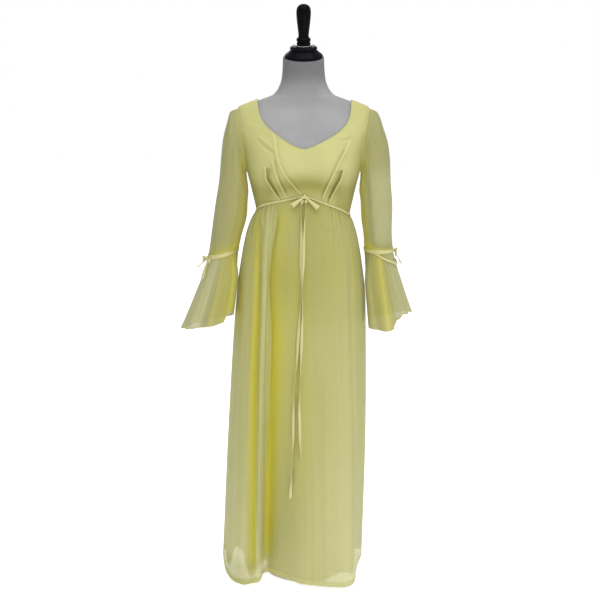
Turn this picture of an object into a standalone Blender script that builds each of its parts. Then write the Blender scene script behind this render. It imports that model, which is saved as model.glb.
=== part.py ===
"""Bridesmaid dress on a dress form.

An empire-line maxi dress in sheer chiffon stands on a covered, limbless dress form.
Metres, +Z up, the front faces -Y, and the origin is the centre of the base's underside.
Every panel is an open grid laid on a surface worked out from the tables below, then
given its wall with Solidify. Trim that lies on a panel uses the panel's own points,
moved out.
"""
import math
from collections import namedtuple

import bmesh
import bpy
from mathutils import Matrix, Vector

# Cloth and seams
CLOTH = 0.0012
SEAM_HALF = 0.00025
SEAM_TURN = 0.0008
SEAM_ROW = 0.0014
RIBBON = 0.0010
RIBBON_WIDTH = 0.010
RIBBON_CLEAR = 0.0030
SLEEVE_RIBBON_CLEAR = 0.0022

# Levels
HEM = 0.016
LINING_DROP = 0.045
LINING_LIFT = 0.025
LINING_INSIDE = 0.0075
LINING_TOP_INSIDE = 0.0022
ARMPIT = 1.215
SHOULDER_END = 1.393
ARMHOLE_START = 0.34
ARMHOLE_BOW = 0.003
ARMHOLE_STEPS = 10
SIDE_STEPS = 5
SHOULDER_PART = 0.125
SHOULDER_PART_BACK = 0.4
SIDE_HOLD = 5
BUST = 1.238
ROUND = 2.2

# Centre back zip
ZIP_HALF = 0.0026
ZIP_GAP = 0.0004
ZIP_TOP = 1.372
ZIP_END = 0.970
SLIDER_Z = 1.352
SLIDER_OUT = 0.0015
HINGE_OUT = 0.0021
CHAIN_WALL = 0.0014
CHAIN_STEPS = 12

# Flat plates with an optional window: the slider, its crown and its pull tab
Plate = namedtuple("Plate", "width height depth drop hole_width hole_height hole_drop")
PULL_BAR = 0.00045
PULL_LENGTH = 0.0135
PULL_WINDOW = 0.0040
SLIDER_PLATE = Plate(0.0056, 0.0020, 0.0085, 0.0, 0.0, 0.0, 0.0)
CROWN_PLATE = Plate(0.0066, 0.0030, 0.0016, 0.0, 0.0048, 0.0016, 0.0)
PULL_PLATE = Plate(0.0050, PULL_LENGTH + PULL_BAR, 0.0008, (PULL_LENGTH - PULL_BAR) / 2,
                   0.0024, PULL_WINDOW - PULL_BAR, (PULL_WINDOW + PULL_BAR) / 2)

# Dress form
FORM_CLEAR = 0.0055
FORM_DROP = 0.0035
TORSO_END = 0.790
NECK_TOP = 1.5360
NECK_TILT = math.radians(14.0)
NECK_SLACK = 0.0035
WAIST_SLACK = 0.012
FOOT_DRAW = 0.010
POLE_RADIUS = 0.0125
POLE_GAP = 0.0003
FORM_LEVELS = (
    TORSO_END, TORSO_END + 0.012, 0.87, 0.96, 1.05, 1.13, 1.19, 1.24, 1.29, 1.335, 1.365,
    1.385, 1.397, 1.408, 1.417, 1.425, 1.436, 1.452, 1.485, NECK_TOP,
)

# The dressed torso by height: half width, and depth to the front and to the back
Section = namedtuple("Section", "height half_width front back")
TORSO = (
    Section(0.780, 0.150, 0.085, 0.105),
    Section(0.860, 0.160, 0.094, 0.112),
    Section(0.940, 0.150, 0.096, 0.100),
    Section(1.020, 0.124, 0.094, 0.086),
    Section(1.095, 0.1350, 0.104, 0.088),
    Section(1.150, 0.1470, 0.111, 0.093),
    Section(1.215, 0.1630, 0.113, 0.100),
    Section(1.260, 0.1760, 0.108, 0.104),
    Section(1.300, 0.1850, 0.099, 0.103),
    Section(1.340, 0.1900, 0.086, 0.096),
    Section(1.370, 0.1912, 0.070, 0.084),
    Section(1.387, 0.1895, 0.058, 0.072),
    Section(1.397, 0.1860, 0.052, 0.064),
    Section(1.408, 0.1670, 0.048, 0.058),
    Section(1.417, 0.1470, 0.047, 0.056),
    Section(1.424, 0.1290, 0.048, 0.056),
    Section(1.434, 0.0960, 0.050, 0.057),
    Section(1.451, 0.0750, 0.054, 0.058),
    Section(1.480, 0.0640, 0.055, 0.057),
    Section(1.545, 0.0590, 0.056, 0.056),
)

# Empire seam: its height at each part of the half width, left side to right side
SeamPoint = namedtuple("SeamPoint", "across height")
EMPIRE_SEAM = (
    SeamPoint(-1.00, 1.1020), SeamPoint(-0.85, 1.1200), SeamPoint(-0.60, 1.1325),
    SeamPoint(-0.30, 1.1425), SeamPoint(-0.06, 1.1515), SeamPoint(0.02, 1.1532),
    SeamPoint(0.10, 1.1500), SeamPoint(0.30, 1.1378), SeamPoint(0.56, 1.1228),
    SeamPoint(0.80, 1.1070), SeamPoint(1.00, 1.0890),
)
SEAM_BACK = 1.084

# Neckline, from the left shoulder down to the point and up to the right shoulder
NeckPoint = namedtuple("NeckPoint", "x height")
NECKLINE = (
    NeckPoint(-0.1310, 1.4232), NeckPoint(-0.1300, 1.4030), NeckPoint(-0.1240, 1.3760),
    NeckPoint(-0.1060, 1.3475), NeckPoint(-0.0800, 1.3255), NeckPoint(-0.0540, 1.3070),
    NeckPoint(-0.0220, 1.2895), NeckPoint(0.0026, 1.2832), NeckPoint(0.0230, 1.2882),
    NeckPoint(0.0500, 1.3005), NeckPoint(0.0745, 1.3137), NeckPoint(0.1070, 1.3352),
    NeckPoint(0.1236, 1.3540), NeckPoint(0.1335, 1.3820), NeckPoint(0.1370, 1.4209),
)
NECK_BACK_DROP = 0.040

# Bust pleats let into the empire seam: top, middle and foot of each ridge on the front
Pleat = namedtuple("Pleat", "top_x top_z mid_x mid_z foot_x foot_z width height")
PLEATS = (
    Pleat(-0.1146, 1.3342, -0.0731, 1.2577, -0.0025, 1.1500, 0.0090, 0.0062),
    Pleat(-0.0859, 1.2541, -0.0795, 1.2263, -0.0410, 1.1400, 0.0070, 0.0068),
    Pleat(-0.1080, 1.2352, -0.1050, 1.2124, -0.0619, 1.1340, 0.0070, 0.0065),
    Pleat(0.1351, 1.3122, 0.0999, 1.2458, 0.0440, 1.1330, 0.0085, 0.0064),
    Pleat(0.1128, 1.2290, 0.1030, 1.1872, 0.0695, 1.1230, 0.0070, 0.0066),
)

# Skirt front: each fold's place round the seam, and its plan at the hip, knee and hem
Fold = namedtuple("Fold", "turn seam hip_x hip_y knee_x knee_y hem_x hem_y")
FRONT_FOLDS = (
    Fold(0.000, -90, -0.197, 0.010, -0.227, 0.034, -0.251, 0.060),
    Fold(0.055, -78, -0.193, -0.028, -0.222, -0.022, -0.242, -0.020),
    Fold(0.115, -68, -0.179, -0.068, -0.207, -0.082, -0.227, -0.095),
    Fold(0.175, -59, -0.158, -0.098, -0.184, -0.130, -0.201, -0.152),
    Fold(0.225, -53, -0.139, -0.116, -0.159, -0.149, -0.172, -0.170),
    Fold(0.262, -49, -0.1265, -0.115, -0.142, -0.142, -0.149, -0.158),
    Fold(0.290, -45, -0.1180, -0.124, -0.1300, -0.147, -0.1360, -0.156),
    Fold(0.318, -41, -0.1080, -0.127, -0.1185, -0.136, -0.1255, -0.133),
    Fold(0.350, -36, -0.1000, -0.114, -0.1110, -0.098, -0.1215, -0.070),
    Fold(0.385, -31, -0.0900, -0.118, -0.0980, -0.090, -0.1080, -0.047),
    Fold(0.420, -26, -0.0760, -0.130, -0.0790, -0.104, -0.0850, -0.072),
    Fold(0.460, -20, -0.0560, -0.138, -0.0540, -0.131, -0.0560, -0.122),
    Fold(0.530, -7, -0.0150, -0.144, -0.0080, -0.154, -0.0030, -0.166),
    Fold(0.620, 10, 0.0350, -0.143, 0.0500, -0.160, 0.0580, -0.181),
    Fold(0.710, 27, 0.0850, -0.132, 0.1000, -0.154, 0.1080, -0.189),
    Fold(0.780, 42, 0.1180, -0.116, 0.1350, -0.138, 0.1400, -0.174),
    Fold(0.835, 54, 0.1400, -0.097, 0.1545, -0.110, 0.1545, -0.130),
    Fold(0.890, 66, 0.1580, -0.070, 0.1690, -0.072, 0.1590, -0.074),
    Fold(0.945, 78, 0.1735, -0.034, 0.1810, -0.026, 0.1680, -0.014),
    Fold(1.000, 90, 0.1835, 0.010, 0.1895, 0.030, 0.1820, 0.050),
)

# The lining's own plan: inside the skirt all round, and straight across behind the deep fold
LINING_FOLDS = (
    Fold(0.000, -90, -0.1900, 0.009, -0.219, 0.032, -0.243, 0.056),
    Fold(0.115, -68, -0.1730, -0.064, -0.199, -0.078, -0.222, -0.085),
    Fold(0.225, -53, -0.1360, -0.108, -0.160, -0.141, -0.170, -0.155),
    Fold(0.262, -49, -0.1240, -0.106, -0.142, -0.130, -0.150, -0.135),
    Fold(0.300, -44, -0.1140, -0.110, -0.128, -0.110, -0.134, -0.060),
    Fold(0.340, -38, -0.1040, -0.108, -0.116, -0.090, -0.125, -0.038),
    Fold(0.385, -31, -0.0910, -0.110, -0.097, -0.083, -0.100, -0.036),
    Fold(0.420, -26, -0.0750, -0.122, -0.077, -0.096, -0.080, -0.060),
    Fold(0.460, -20, -0.0560, -0.131, -0.053, -0.124, -0.058, -0.112),
    Fold(0.530, -7, -0.0150, -0.137, -0.007, -0.147, 0.000, -0.158),
    Fold(0.620, 10, 0.0340, -0.136, 0.049, -0.153, 0.058, -0.173),
    Fold(0.710, 27, 0.0830, -0.125, 0.098, -0.147, 0.106, -0.181),
    Fold(0.780, 42, 0.1150, -0.110, 0.131, -0.131, 0.136, -0.165),
    Fold(0.835, 54, 0.1350, -0.092, 0.148, -0.106, 0.148, -0.125),
    Fold(0.890, 66, 0.1520, -0.066, 0.162, -0.070, 0.152, -0.074),
    Fold(0.945, 78, 0.1670, -0.032, 0.174, -0.026, 0.161, -0.014),
    Fold(1.000, 90, 0.1765, 0.010, 0.182, 0.028, 0.175, 0.048),
)
SEAM_SIDE = 1.100
HIP = 0.850
KNEE = 0.450
BackLevel = namedtuple("BackLevel", "height depth ripple")
SKIRT_BACK = (
    BackLevel(0.0, 0.186, 0.013), BackLevel(0.45, 0.160, 0.010),
    BackLevel(0.85, 0.130, 0.005), BackLevel(1.00, 0.108, 0.002),
    BackLevel(1.10, 0.088, 0.000),
)
BACK_RIPPLES = 3.5
FLAT_STRETCH = (0.44, 0.74)
Gather = namedtuple("Gather", "start end")
FRONT_GATHERS = (Gather(0.02, 0.38), Gather(0.72, 0.98))
GATHER_DEEP = 0.0024
GATHER_FADE = 0.085
FRONT_COLUMNS = 48
BACK_COLUMNS = 18
LINING_COLUMNS = 56
SKIRT_ROWS = (0.0005, 0.015, 0.035, 0.065, 0.11, 0.17, 0.26, 0.38, 0.52, 0.68, 0.85, 1.0)
LINING_ROWS = (0.002, 0.06, 0.18, 0.36, 0.58, 0.80, 1.0)
SLEEVE_ROWS = (0.0, 0.06, 0.14, 0.24, 0.37, 0.52, 0.68, 0.84, 0.9985)
FLOUNCE_ROWS = (0.0015, 0.12, 0.36, 0.66, 1.0)
RIBBON_ROWS = (0.0, 0.5, 1.0)

# Sleeves: the outermost and the innermost point of each ring, and its half depth
Ring = namedtuple("Ring", "outer outer_z inner inner_z half_depth")
SLEEVES = {
    "left": (
        Ring(0.1870, 1.3930, 0.1630, 1.2150, 0.046), Ring(0.2080, 1.3840, 0.1665, 1.2080, 0.053),
        Ring(0.2170, 1.3650, 0.1690, 1.1990, 0.058), Ring(0.2255, 1.3300, 0.1700, 1.1850, 0.062),
        Ring(0.2300, 1.2880, 0.1690, 1.1650, 0.064), Ring(0.2395, 1.2310, 0.1675, 1.1400, 0.064),
        Ring(0.2460, 1.1750, 0.1680, 1.1120, 0.063), Ring(0.2560, 1.1120, 0.1700, 1.0750, 0.062),
        Ring(0.2680, 1.0450, 0.1790, 1.0320, 0.061), Ring(0.2785, 0.9640, 0.1905, 0.9870, 0.060),
    ),
    "right": (
        Ring(0.1870, 1.3930, 0.1630, 1.2150, 0.046), Ring(0.2045, 1.3840, 0.1665, 1.2080, 0.053),
        Ring(0.2165, 1.3655, 0.1690, 1.1990, 0.058), Ring(0.2290, 1.3300, 0.1705, 1.1850, 0.062),
        Ring(0.2395, 1.2880, 0.1705, 1.1650, 0.064), Ring(0.2490, 1.2310, 0.1700, 1.1400, 0.064),
        Ring(0.2535, 1.1750, 0.1700, 1.1120, 0.063), Ring(0.2575, 1.1120, 0.1715, 1.0750, 0.062),
        Ring(0.2590, 1.0450, 0.1745, 1.0320, 0.061), Ring(0.2615, 0.9850, 0.1780, 0.9870, 0.060),
    ),
}
CAP_PART = 0.30
SLEEVE_MIDDLE = 0.222
ELBOW_FOLDS = 3
ELBOW_FOLD = 0.0025

# Bell flounces: the ring at the hem, and the hem's height round the wrist,
# in steps of 60 degrees from the outside through the front to the inside and the back
Flounce = namedtuple("Flounce", "outer inner half_depth middle_y hem_steps")
FLOUNCES = {
    "left": Flounce(0.3560, 0.2110, 0.088, -0.006, (0.7520, 0.7560, 0.7700, 0.7900, 0.7860, 0.7640)),
    "right": Flounce(0.3130, 0.1960, 0.080, -0.012, (0.8000, 0.7820, 0.7560, 0.7620, 0.7840, 0.7980)),
}
FLOUNCE_WAVES = 7
FLOUNCE_WAVE = 0.008
FLOUNCE_INNER = (0.36, 0.64)

# Streamers: x at each height, hanging from the bow down the skirt front
Hang = namedtuple("Hang", "x height")
STREAMERS = {
    "left": (
        Hang(-0.0035, 1.1452), Hang(-0.0085, 1.120), Hang(-0.0125, 1.040), Hang(-0.0130, 0.930),
        Hang(-0.0155, 0.800),
        Hang(-0.0205, 0.680), Hang(-0.0290, 0.560), Hang(-0.0310, 0.450), Hang(-0.0345, 0.360),
        Hang(-0.0385, 0.272),
    ),
    "right": (
        Hang(0.0085, 1.1452), Hang(0.0050, 1.120), Hang(0.0015, 1.040), Hang(-0.0010, 0.930),
        Hang(-0.0022, 0.800),
        Hang(-0.0060, 0.680), Hang(-0.0110, 0.560), Hang(-0.0090, 0.470), Hang(-0.0065, 0.398),
    ),
}
STREAMER_CLEAR = 0.0034
STREAMER_STEPS = 24
STREAMER_TWIST = 0.50
STREAMER_TURNS = 9.0

# How far a ribbon's edge runs along each panel for a whole step of the panel's v
Run = namedtuple("Run", "bodice_front skirt_front bodice_back skirt_back sleeve flounce")
PANEL_RUN = Run(0.20, 1.09, 0.31, 1.07, 0.40, 0.22)
ZIP_SHARE = 0.0055

# Bows: each loop's reach from the knot and the way its width runs; sleeve bows are given
# along the ribbon, out from the sleeve and down
Loop = namedtuple("Loop", "reach across")
WAIST_KNOT = Vector((0.003, -0.0069, 1.1520))
WAIST_LOOPS = (
    Loop(Vector((-0.034, -0.009, -0.026)), Vector((-0.55, 0.0, 0.83))),
    Loop(Vector((0.036, -0.009, -0.030)), Vector((0.60, 0.0, 0.80))),
)
Reach = namedtuple("Reach", "along out down")
SLEEVE_LOOPS = (Reach(0.020, 0.004, 0.006), Reach(-0.018, 0.004, 0.004))
SLEEVE_TAILS = (Reach(0.010, 0.50, 0.040), Reach(-0.009, 0.50, 0.048))
SLEEVE_KNOT_TURN = 0.07
SLEEVE_KNOT_OUT = 0.0041
LOOP_FAT = 0.0026
LOOP_ROOT = 0.0009
KNOT_THICK = 0.0036

# Turned cap and handle: radius at each height above the neck, from the top down
Turn = namedtuple("Turn", "radius height")
CAP = (
    Turn(0.0000, 0.0330), Turn(0.0230, 0.0330), Turn(0.0330, 0.0325), Turn(0.0380, 0.0300),
    Turn(0.0392, 0.0265), Turn(0.0375, 0.0235), Turn(0.0390, 0.0205), Turn(0.0440, 0.0160),
    Turn(0.0510, 0.0105), Turn(0.0545, 0.0075), Turn(0.0550, 0.0040), Turn(0.0530, 0.0006),
    Turn(0.0000, 0.0006),
)
WASHER = (
    Turn(0.0000, 0.0362), Turn(0.0230, 0.0362), Turn(0.0236, 0.0348), Turn(0.0236, 0.0334),
    Turn(0.0000, 0.0334),
)
HANDLE = (
    Turn(0.0000, 0.1500), Turn(0.0070, 0.1492), Turn(0.0130, 0.1465), Turn(0.0178, 0.1410),
    Turn(0.0202, 0.1335), Turn(0.0208, 0.1260), Turn(0.0200, 0.1130), Turn(0.0180, 0.0950),
    Turn(0.0160, 0.0770), Turn(0.0145, 0.0630), Turn(0.0150, 0.0575), Turn(0.0190, 0.0545),
    Turn(0.0205, 0.0505), Turn(0.0195, 0.0462), Turn(0.0185, 0.0435), Turn(0.0200, 0.0405),
    Turn(0.0198, 0.0366), Turn(0.0000, 0.0366),
)
BASE = (
    Turn(0.0000, 0.0135), Turn(0.0300, 0.0130), Turn(0.0800, 0.0105), Turn(0.1080, 0.0085),
    Turn(0.1145, 0.0060), Turn(0.1150, 0.0000), Turn(0.0000, 0.0000),
)

Finish = namedtuple("Finish", "colour roughness metallic")
FINISHES = {
    "chiffon": Finish((0.72, 0.69, 0.27), 0.75, 0.0),
    "sheer": Finish((0.60, 0.58, 0.30), 0.75, 0.0),
    "ribbon": Finish((0.74, 0.68, 0.30), 0.35, 0.0),
    "jersey": Finish((0.55, 0.55, 0.54), 0.90, 0.0),
    "black": Finish((0.010, 0.009, 0.012), 0.20, 0.0),
    "steel": Finish((0.60, 0.60, 0.58), 0.30, 1.0),
    "nylon": Finish((0.70, 0.66, 0.30), 0.45, 0.0),
}


def smooth(places, values, at):
    """Values that pass smoothly through a table, with no overshoot (monotone cubic)."""
    if at <= places[0]:
        return values[0]
    if at >= places[-1]:
        return values[-1]
    k = max(i for i, p in enumerate(places[:-1]) if p <= at)
    rises = [(values[i + 1] - values[i]) / (places[i + 1] - places[i])
             for i in range(len(places) - 1)]

    def slope(i):
        if i == 0:
            return rises[0]
        if i == len(rises):
            return rises[-1]
        before, after = rises[i - 1], rises[i]
        if before * after <= 0:
            return 0.0
        return 2 * before * after / (before + after)

    width = places[k + 1] - places[k]
    t = (at - places[k]) / width
    return ((2 * t ** 3 - 3 * t ** 2 + 1) * values[k] + (t ** 3 - 2 * t ** 2 + t) * width * slope(k)
            + (3 * t ** 2 - 2 * t ** 3) * values[k + 1] + (t ** 3 - t ** 2) * width * slope(k + 1))


def column(rows, name):
    return [getattr(row, name) for row in rows]


def read(rows, key, name, at):
    return smooth(column(rows, key), column(rows, name), at)


def ease(t):
    t = min(1.0, max(0.0, t))
    return t * t * (3 - 2 * t)


def arc_power(value):
    """The superellipse's step on one axis, from a sine or cosine."""
    return math.copysign(abs(value) ** (2 / ROUND), value)


# Torso surface

def half_width(z):
    return read(TORSO, "height", "half_width", z)


def torso_point(angle, z, facing, clear=0.0):
    """A point of the torso: angle from its middle line, facing -1 front or 1 back."""
    depth = read(TORSO, "height", "front" if facing < 0 else "back", z)
    x = (half_width(z) - clear) * arc_power(math.sin(angle))
    y = facing * (depth - clear) * arc_power(math.cos(angle))
    if facing < 0:
        y -= bust(x, z)
    return Vector((x, y, z))


def bust(x, z):
    """The cups: two soft mounds on a general figure."""
    rise = 0.0
    for side in (-1, 1):
        across = (x - side * 0.076) / 0.052
        up = (z - BUST) / (0.050 if z > BUST else 0.060)
        rise += 0.020 * math.exp(-across * across - up * up)
    return rise


def angle_of(x, z):
    part = min(1.0, abs(x) / half_width(z))
    return math.copysign(math.asin(part ** (ROUND / 2)), x)


def seam_height(across):
    return read(EMPIRE_SEAM, "across", "height", across)


def seam_height_back(turn, side):
    """Empire seam on the back: turn 0 at the side seam, 1 at the centre back."""
    start = EMPIRE_SEAM[0 if side < 0 else -1].height
    return start + (SEAM_BACK - start) * ease(turn)


def shoulder_height(x):
    """Height of the shoulder line, where the torso is as wide as x."""
    low, high = SHOULDER_END - 0.004, TORSO[-1].height
    for _ in range(40):
        middle = (low + high) / 2
        if half_width(middle) > abs(x):
            low = middle
        else:
            high = middle
    return low


def armhole_x(z):
    """Half width of the armhole's edge, from the armpit up to the shoulder's end."""
    part = min(1.0, max(0.0, (z - ARMPIT) / (SHOULDER_END - ARMPIT)))
    start, end = half_width(ARMPIT), half_width(SHOULDER_END)
    return start + (end - start) * part - ARMHOLE_BOW * math.sin(math.pi * part)


def armhole_height(turn):
    """Height round the armhole: turn 0 at the armpit, 1 at the shoulder's end."""
    return ARMPIT + (SHOULDER_END - ARMPIT) * (1 - math.cos(math.pi * turn)) / 2


def side_edge(v, side, facing):
    """Side seam, then armhole: v 0 at the empire seam, 1 at the shoulder's end."""
    start = seam_height(side) if facing < 0 else seam_height_back(0.0, side)
    if v < ARMHOLE_START:
        z = start + (ARMPIT - start) * v / ARMHOLE_START
        return side * half_width(z), z
    z = armhole_height((v - ARMHOLE_START) / (1 - ARMHOLE_START))
    return side * armhole_x(z), z


def between_edges(u, v, foot, top, left, right):
    """A point between four edges. The side edges' own bends reach only a little way in."""
    result = []
    for k in range(2):
        ruled = (1 - v) * foot(u)[k] + v * top(u)[k]
        left_bend = left(v)[k] - (1 - v) * foot(0)[k] - v * top(0)[k]
        right_bend = right(v)[k] - (1 - v) * foot(1)[k] - v * top(1)[k]
        result.append(ruled + left_bend * (1 - u) ** SIDE_HOLD + right_bend * u ** SIDE_HOLD)
    return result


# Bodice

def neck_edge(t):
    """Top edge of the front: left shoulder seam, neckline, right shoulder seam."""
    left, right = NECKLINE[0], NECKLINE[-1]
    end = half_width(SHOULDER_END)
    if t < SHOULDER_PART:
        x = -end + (end + left.x) * t / SHOULDER_PART
        return x, shoulder_height(x)
    if t > 1 - SHOULDER_PART:
        x = end + (right.x - end) * (1 - t) / SHOULDER_PART
        return x, shoulder_height(x)
    run = (t - SHOULDER_PART) / (1 - 2 * SHOULDER_PART) * (len(NECKLINE) - 1)
    steps = list(range(len(NECKLINE)))
    x = smooth(steps, column(NECKLINE, "x"), run)
    z = smooth(steps, column(NECKLINE, "height"), run)
    return x, min(z, shoulder_height(x))


def pleat_rise(x, z):
    """How far the bust pleats stand out at a point of the front."""
    rise = 0.0
    for p in PLEATS:
        if not p.foot_z - 0.02 < z < p.top_z:
            continue
        t = (p.top_z - z) / (p.top_z - p.foot_z)
        bend = (p.top_z - p.mid_z) / (p.top_z - p.foot_z)
        line = smooth([0, bend, 1], [p.top_x, p.mid_x, p.foot_x], t)
        away = (x - line) / p.width
        fade = ease(t / 0.35) * (1 - 0.93 * ease((t - 0.74) / 0.20))
        rise += p.height * fade * math.exp(-away * away)
    return rise


def bodice_front(u, v):
    def foot(t):
        across = arc_power(math.sin((t - 0.5) * math.pi))
        z = seam_height(across)
        return across * half_width(z), z

    x, z = between_edges(u, v, foot, neck_edge, lambda t: side_edge(t, -1, -1),
                         lambda t: side_edge(t, 1, -1))
    point = torso_point(angle_of(x, z), z, -1)
    point.y -= pleat_rise(point.x, z)
    return point


def back_neck(t, side):
    """Top edge of a back: 0 at the armhole, shoulder seam, neckline, 1 at centre back."""
    point = NECKLINE[0] if side < 0 else NECKLINE[-1]
    end = half_width(SHOULDER_END)
    if t < SHOULDER_PART_BACK:
        x = side * (end + (abs(point.x) - end) * t / SHOULDER_PART_BACK)
        return x, shoulder_height(x)
    turn = (t - SHOULDER_PART_BACK) / (1 - SHOULDER_PART_BACK) * math.pi / 2
    top = shoulder_height(point.x)
    return point.x * math.cos(turn), top - NECK_BACK_DROP * math.sin(turn) ** 0.8


def bodice_back(u, v, side):
    """u 0 at the side seam, 1 at the centre back."""
    def foot(t):
        z = seam_height_back(t, side)
        return side * half_width(z) * arc_power(math.cos(t * math.pi / 2)), z

    def middle(t):
        return 0.0, SEAM_BACK + (back_neck(1.0, side)[1] - SEAM_BACK) * t

    x, z = between_edges(u, v, foot, lambda t: back_neck(t, side),
                         lambda t: side_edge(t, side, 1), middle)
    return torso_point(angle_of(x, z), z, 1)


# Skirt

def level(z, seam, hip, knee, hem):
    """One measure of the skirt at a height, from its values at four levels."""
    return smooth([HEM, KNEE, HIP, 0.955, 1.03, 1.075, SEAM_SIDE],
                  [hem, knee, hip, hip + (seam - hip) * 0.24, hip + (seam - hip) * 0.50,
                   hip + (seam - hip) * 0.76, seam], z)


def gather_share(u):
    """How strongly the top edge is gathered, round the front."""
    share = 0.0
    for g in FRONT_GATHERS:
        share = max(share, ease((u - g.start) / 0.04) * ease((g.end - u) / 0.04))
    return share


def gather_depth(drop, share):
    """Depth of the gathers below the seam: held flat under the ribbon, then fading."""
    if drop < 0:
        return 0.0
    return GATHER_DEEP * share * (0.25 + 0.75 * ease(drop / 0.014)) * math.exp(-drop / GATHER_FADE)


def skirt_front(u, v, gathers=1.0, hem=HEM, folds=FRONT_FOLDS, inside=0.0):
    """u 0 at the left side seam, 1 at the right one; v 0 at the empire seam, 1 at the hem."""
    seam_angle = math.radians(read(folds, "turn", "seam", u))
    across = arc_power(math.sin(seam_angle))
    top = torso_point(seam_angle, seam_height(across), -1, inside)
    z = top.z + (hem - top.z) * v
    guide = z + (SEAM_SIDE - top.z) * (1 - v) ** 2
    x_plan = [read(folds, "turn", name, u) for name in ("hip_x", "knee_x", "hem_x")]
    y_plan = [read(folds, "turn", name, u) for name in ("hip_y", "knee_y", "hem_y")]
    x = level(guide, top.x, *x_plan)
    y = level(guide, top.y, *y_plan)
    wave = math.cos(math.pi * FRONT_COLUMNS * u)
    out = gather_depth(top.z - z, gather_share(u)) * wave * gathers
    return Vector((x + out * math.sin(seam_angle), y - out * math.cos(seam_angle), z))


def skirt_back(u, v, side, gathers=1.0, hem=HEM, folds=FRONT_FOLDS, inside=0.0):
    """u 0 at the side seam, 1 at the centre back."""
    edge = folds[0 if side < 0 else -1]
    start = side * (half_width(seam_height_back(0, side)) - inside)
    top = seam_height_back(u, side)
    z = top + (hem - top) * v
    guide = z + (SEAM_SIDE - top) * (1 - v) ** 2
    side_x = level(guide, start, edge.hip_x, edge.knee_x, edge.hem_x)
    side_y = level(guide, 0.0, edge.hip_y, edge.knee_y, edge.hem_y)
    depth = read(SKIRT_BACK, "height", "depth", guide) - inside
    ripple = read(SKIRT_BACK, "height", "ripple", guide)
    turn = u * math.pi / 2
    ends = ease(u / 0.4) * ease((1 - u) / 0.2)
    out = ripple * ends * math.cos(2 * math.pi * BACK_RIPPLES * (1 - u))
    wave = math.cos(math.pi * BACK_COLUMNS * u)
    fold_share = ease(u / 0.06) * ease((1 - u) / 0.08)
    out += gather_depth(top - z, fold_share) * wave * gathers
    x = side_x * arc_power(math.cos(turn)) + side * out * math.cos(turn)
    y = side_y + (depth - side_y) * arc_power(math.sin(turn)) + out * math.sin(turn)
    return Vector((x, y, z))


def lining(u, v):
    """The lining, one turn from the centre back. Its hem is shorter, and uneven."""
    u %= 1.0
    hem = HEM + LINING_DROP + LINING_LIFT * math.exp(-((u - 0.31) / 0.07) ** 2)
    inside = LINING_TOP_INSIDE + (LINING_INSIDE - LINING_TOP_INSIDE) * ease(v / LINING_ROWS[1])
    if u < 0.25:
        return skirt_back(1 - u * 4, v, -1, 0.0, hem, LINING_FOLDS, inside)
    if u > 0.75:
        return skirt_back((u - 0.75) * 4, v, 1, 0.0, hem, LINING_FOLDS, inside)
    return skirt_front((u - 0.25) * 2, v, 0.0, hem, LINING_FOLDS, inside)


# Sleeves

def ring_at(side, s):
    rings = SLEEVES[side]
    steps = [i / (len(rings) - 1) for i in range(len(rings))]
    return Ring(*(smooth(steps, column(rings, name), s) for name in Ring._fields))


def ring_point(ring, turn, sign, middle_y=0.0):
    """turn 0 at the outside, 0.25 at the front, 0.5 at the inside, 0.75 at the back."""
    angle = 2 * math.pi * turn
    lean = (1 + math.cos(angle)) / 2
    x = ring.inner + (ring.outer - ring.inner) * lean
    z = ring.inner_z + (ring.outer_z - ring.inner_z) * lean
    return Vector((sign * x, middle_y - ring.half_depth * math.sin(angle), z))


def armhole_point(turn, sign):
    angle = 2 * math.pi * turn
    z = ARMPIT + (SHOULDER_END - ARMPIT) * (1 + math.cos(angle)) / 2
    facing = -1 if math.sin(angle) >= 0 else 1
    return torso_point(sign * abs(angle_of(armhole_x(z), z)), z, facing)


def sleeve(u, s, side):
    sign = -1 if side == "left" else 1
    point = ring_point(ring_at(side, s), u, sign)
    if s < CAP_PART:
        first = ring_point(ring_at(side, 0.0), u, sign)
        share = (1 - s / CAP_PART) ** 2
        point += (armhole_point(u, sign) - first) * share
    soft = ELBOW_FOLD * math.sin(2 * math.pi * ELBOW_FOLDS * s) * math.cos(2 * math.pi * u)
    point.x += sign * soft * ease(s / 0.4) * ease((1 - s) / 0.1)
    return point


def flounce(u, s, side):
    sign = -1 if side == "left" else 1
    shape = FLOUNCES[side]
    cuff = ring_at(side, 1.0)
    steps = len(shape.hem_steps)
    hem_z = smooth([i / steps for i in range(steps + 1)],
                   list(shape.hem_steps) + [shape.hem_steps[0]], u)
    start = ring_point(cuff, u, sign)
    end = ring_point(Ring(shape.outer, 0, shape.inner, 0, shape.half_depth), u, sign, shape.middle_y)
    spread = s ** 1.15
    point = start.lerp(end, spread)
    point.z = start.z + (hem_z - start.z) * s
    angle = 2 * math.pi * u
    wave = FLOUNCE_WAVE * s * math.cos(FLOUNCE_WAVES * angle + 0.6)
    if FLOUNCE_INNER[0] <= u <= FLOUNCE_INNER[1]:
        wave *= 0.35
    point.x += sign * wave * math.cos(angle)
    point.y -= wave * math.sin(angle)
    return point


# Mesh helpers

def make_material(name):
    finish = FINISHES[name]
    material = bpy.data.materials.get(name)
    if material:
        return material
    material = bpy.data.materials.new(name)
    material.use_nodes = True
    shader = material.node_tree.nodes["Principled BSDF"]
    shader.inputs["Base Color"].default_value = (*finish.colour, 1.0)
    shader.inputs["Roughness"].default_value = finish.roughness
    shader.inputs["Metallic"].default_value = finish.metallic
    return material


def add_object(name, mesh, finish):
    mesh.materials.append(make_material(finish))
    mesh.shade_smooth()
    mesh.set_sharp_from_angle(angle=math.radians(40))
    obj = bpy.data.objects.new(name, mesh)
    parts.objects.link(obj)
    return obj


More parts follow.
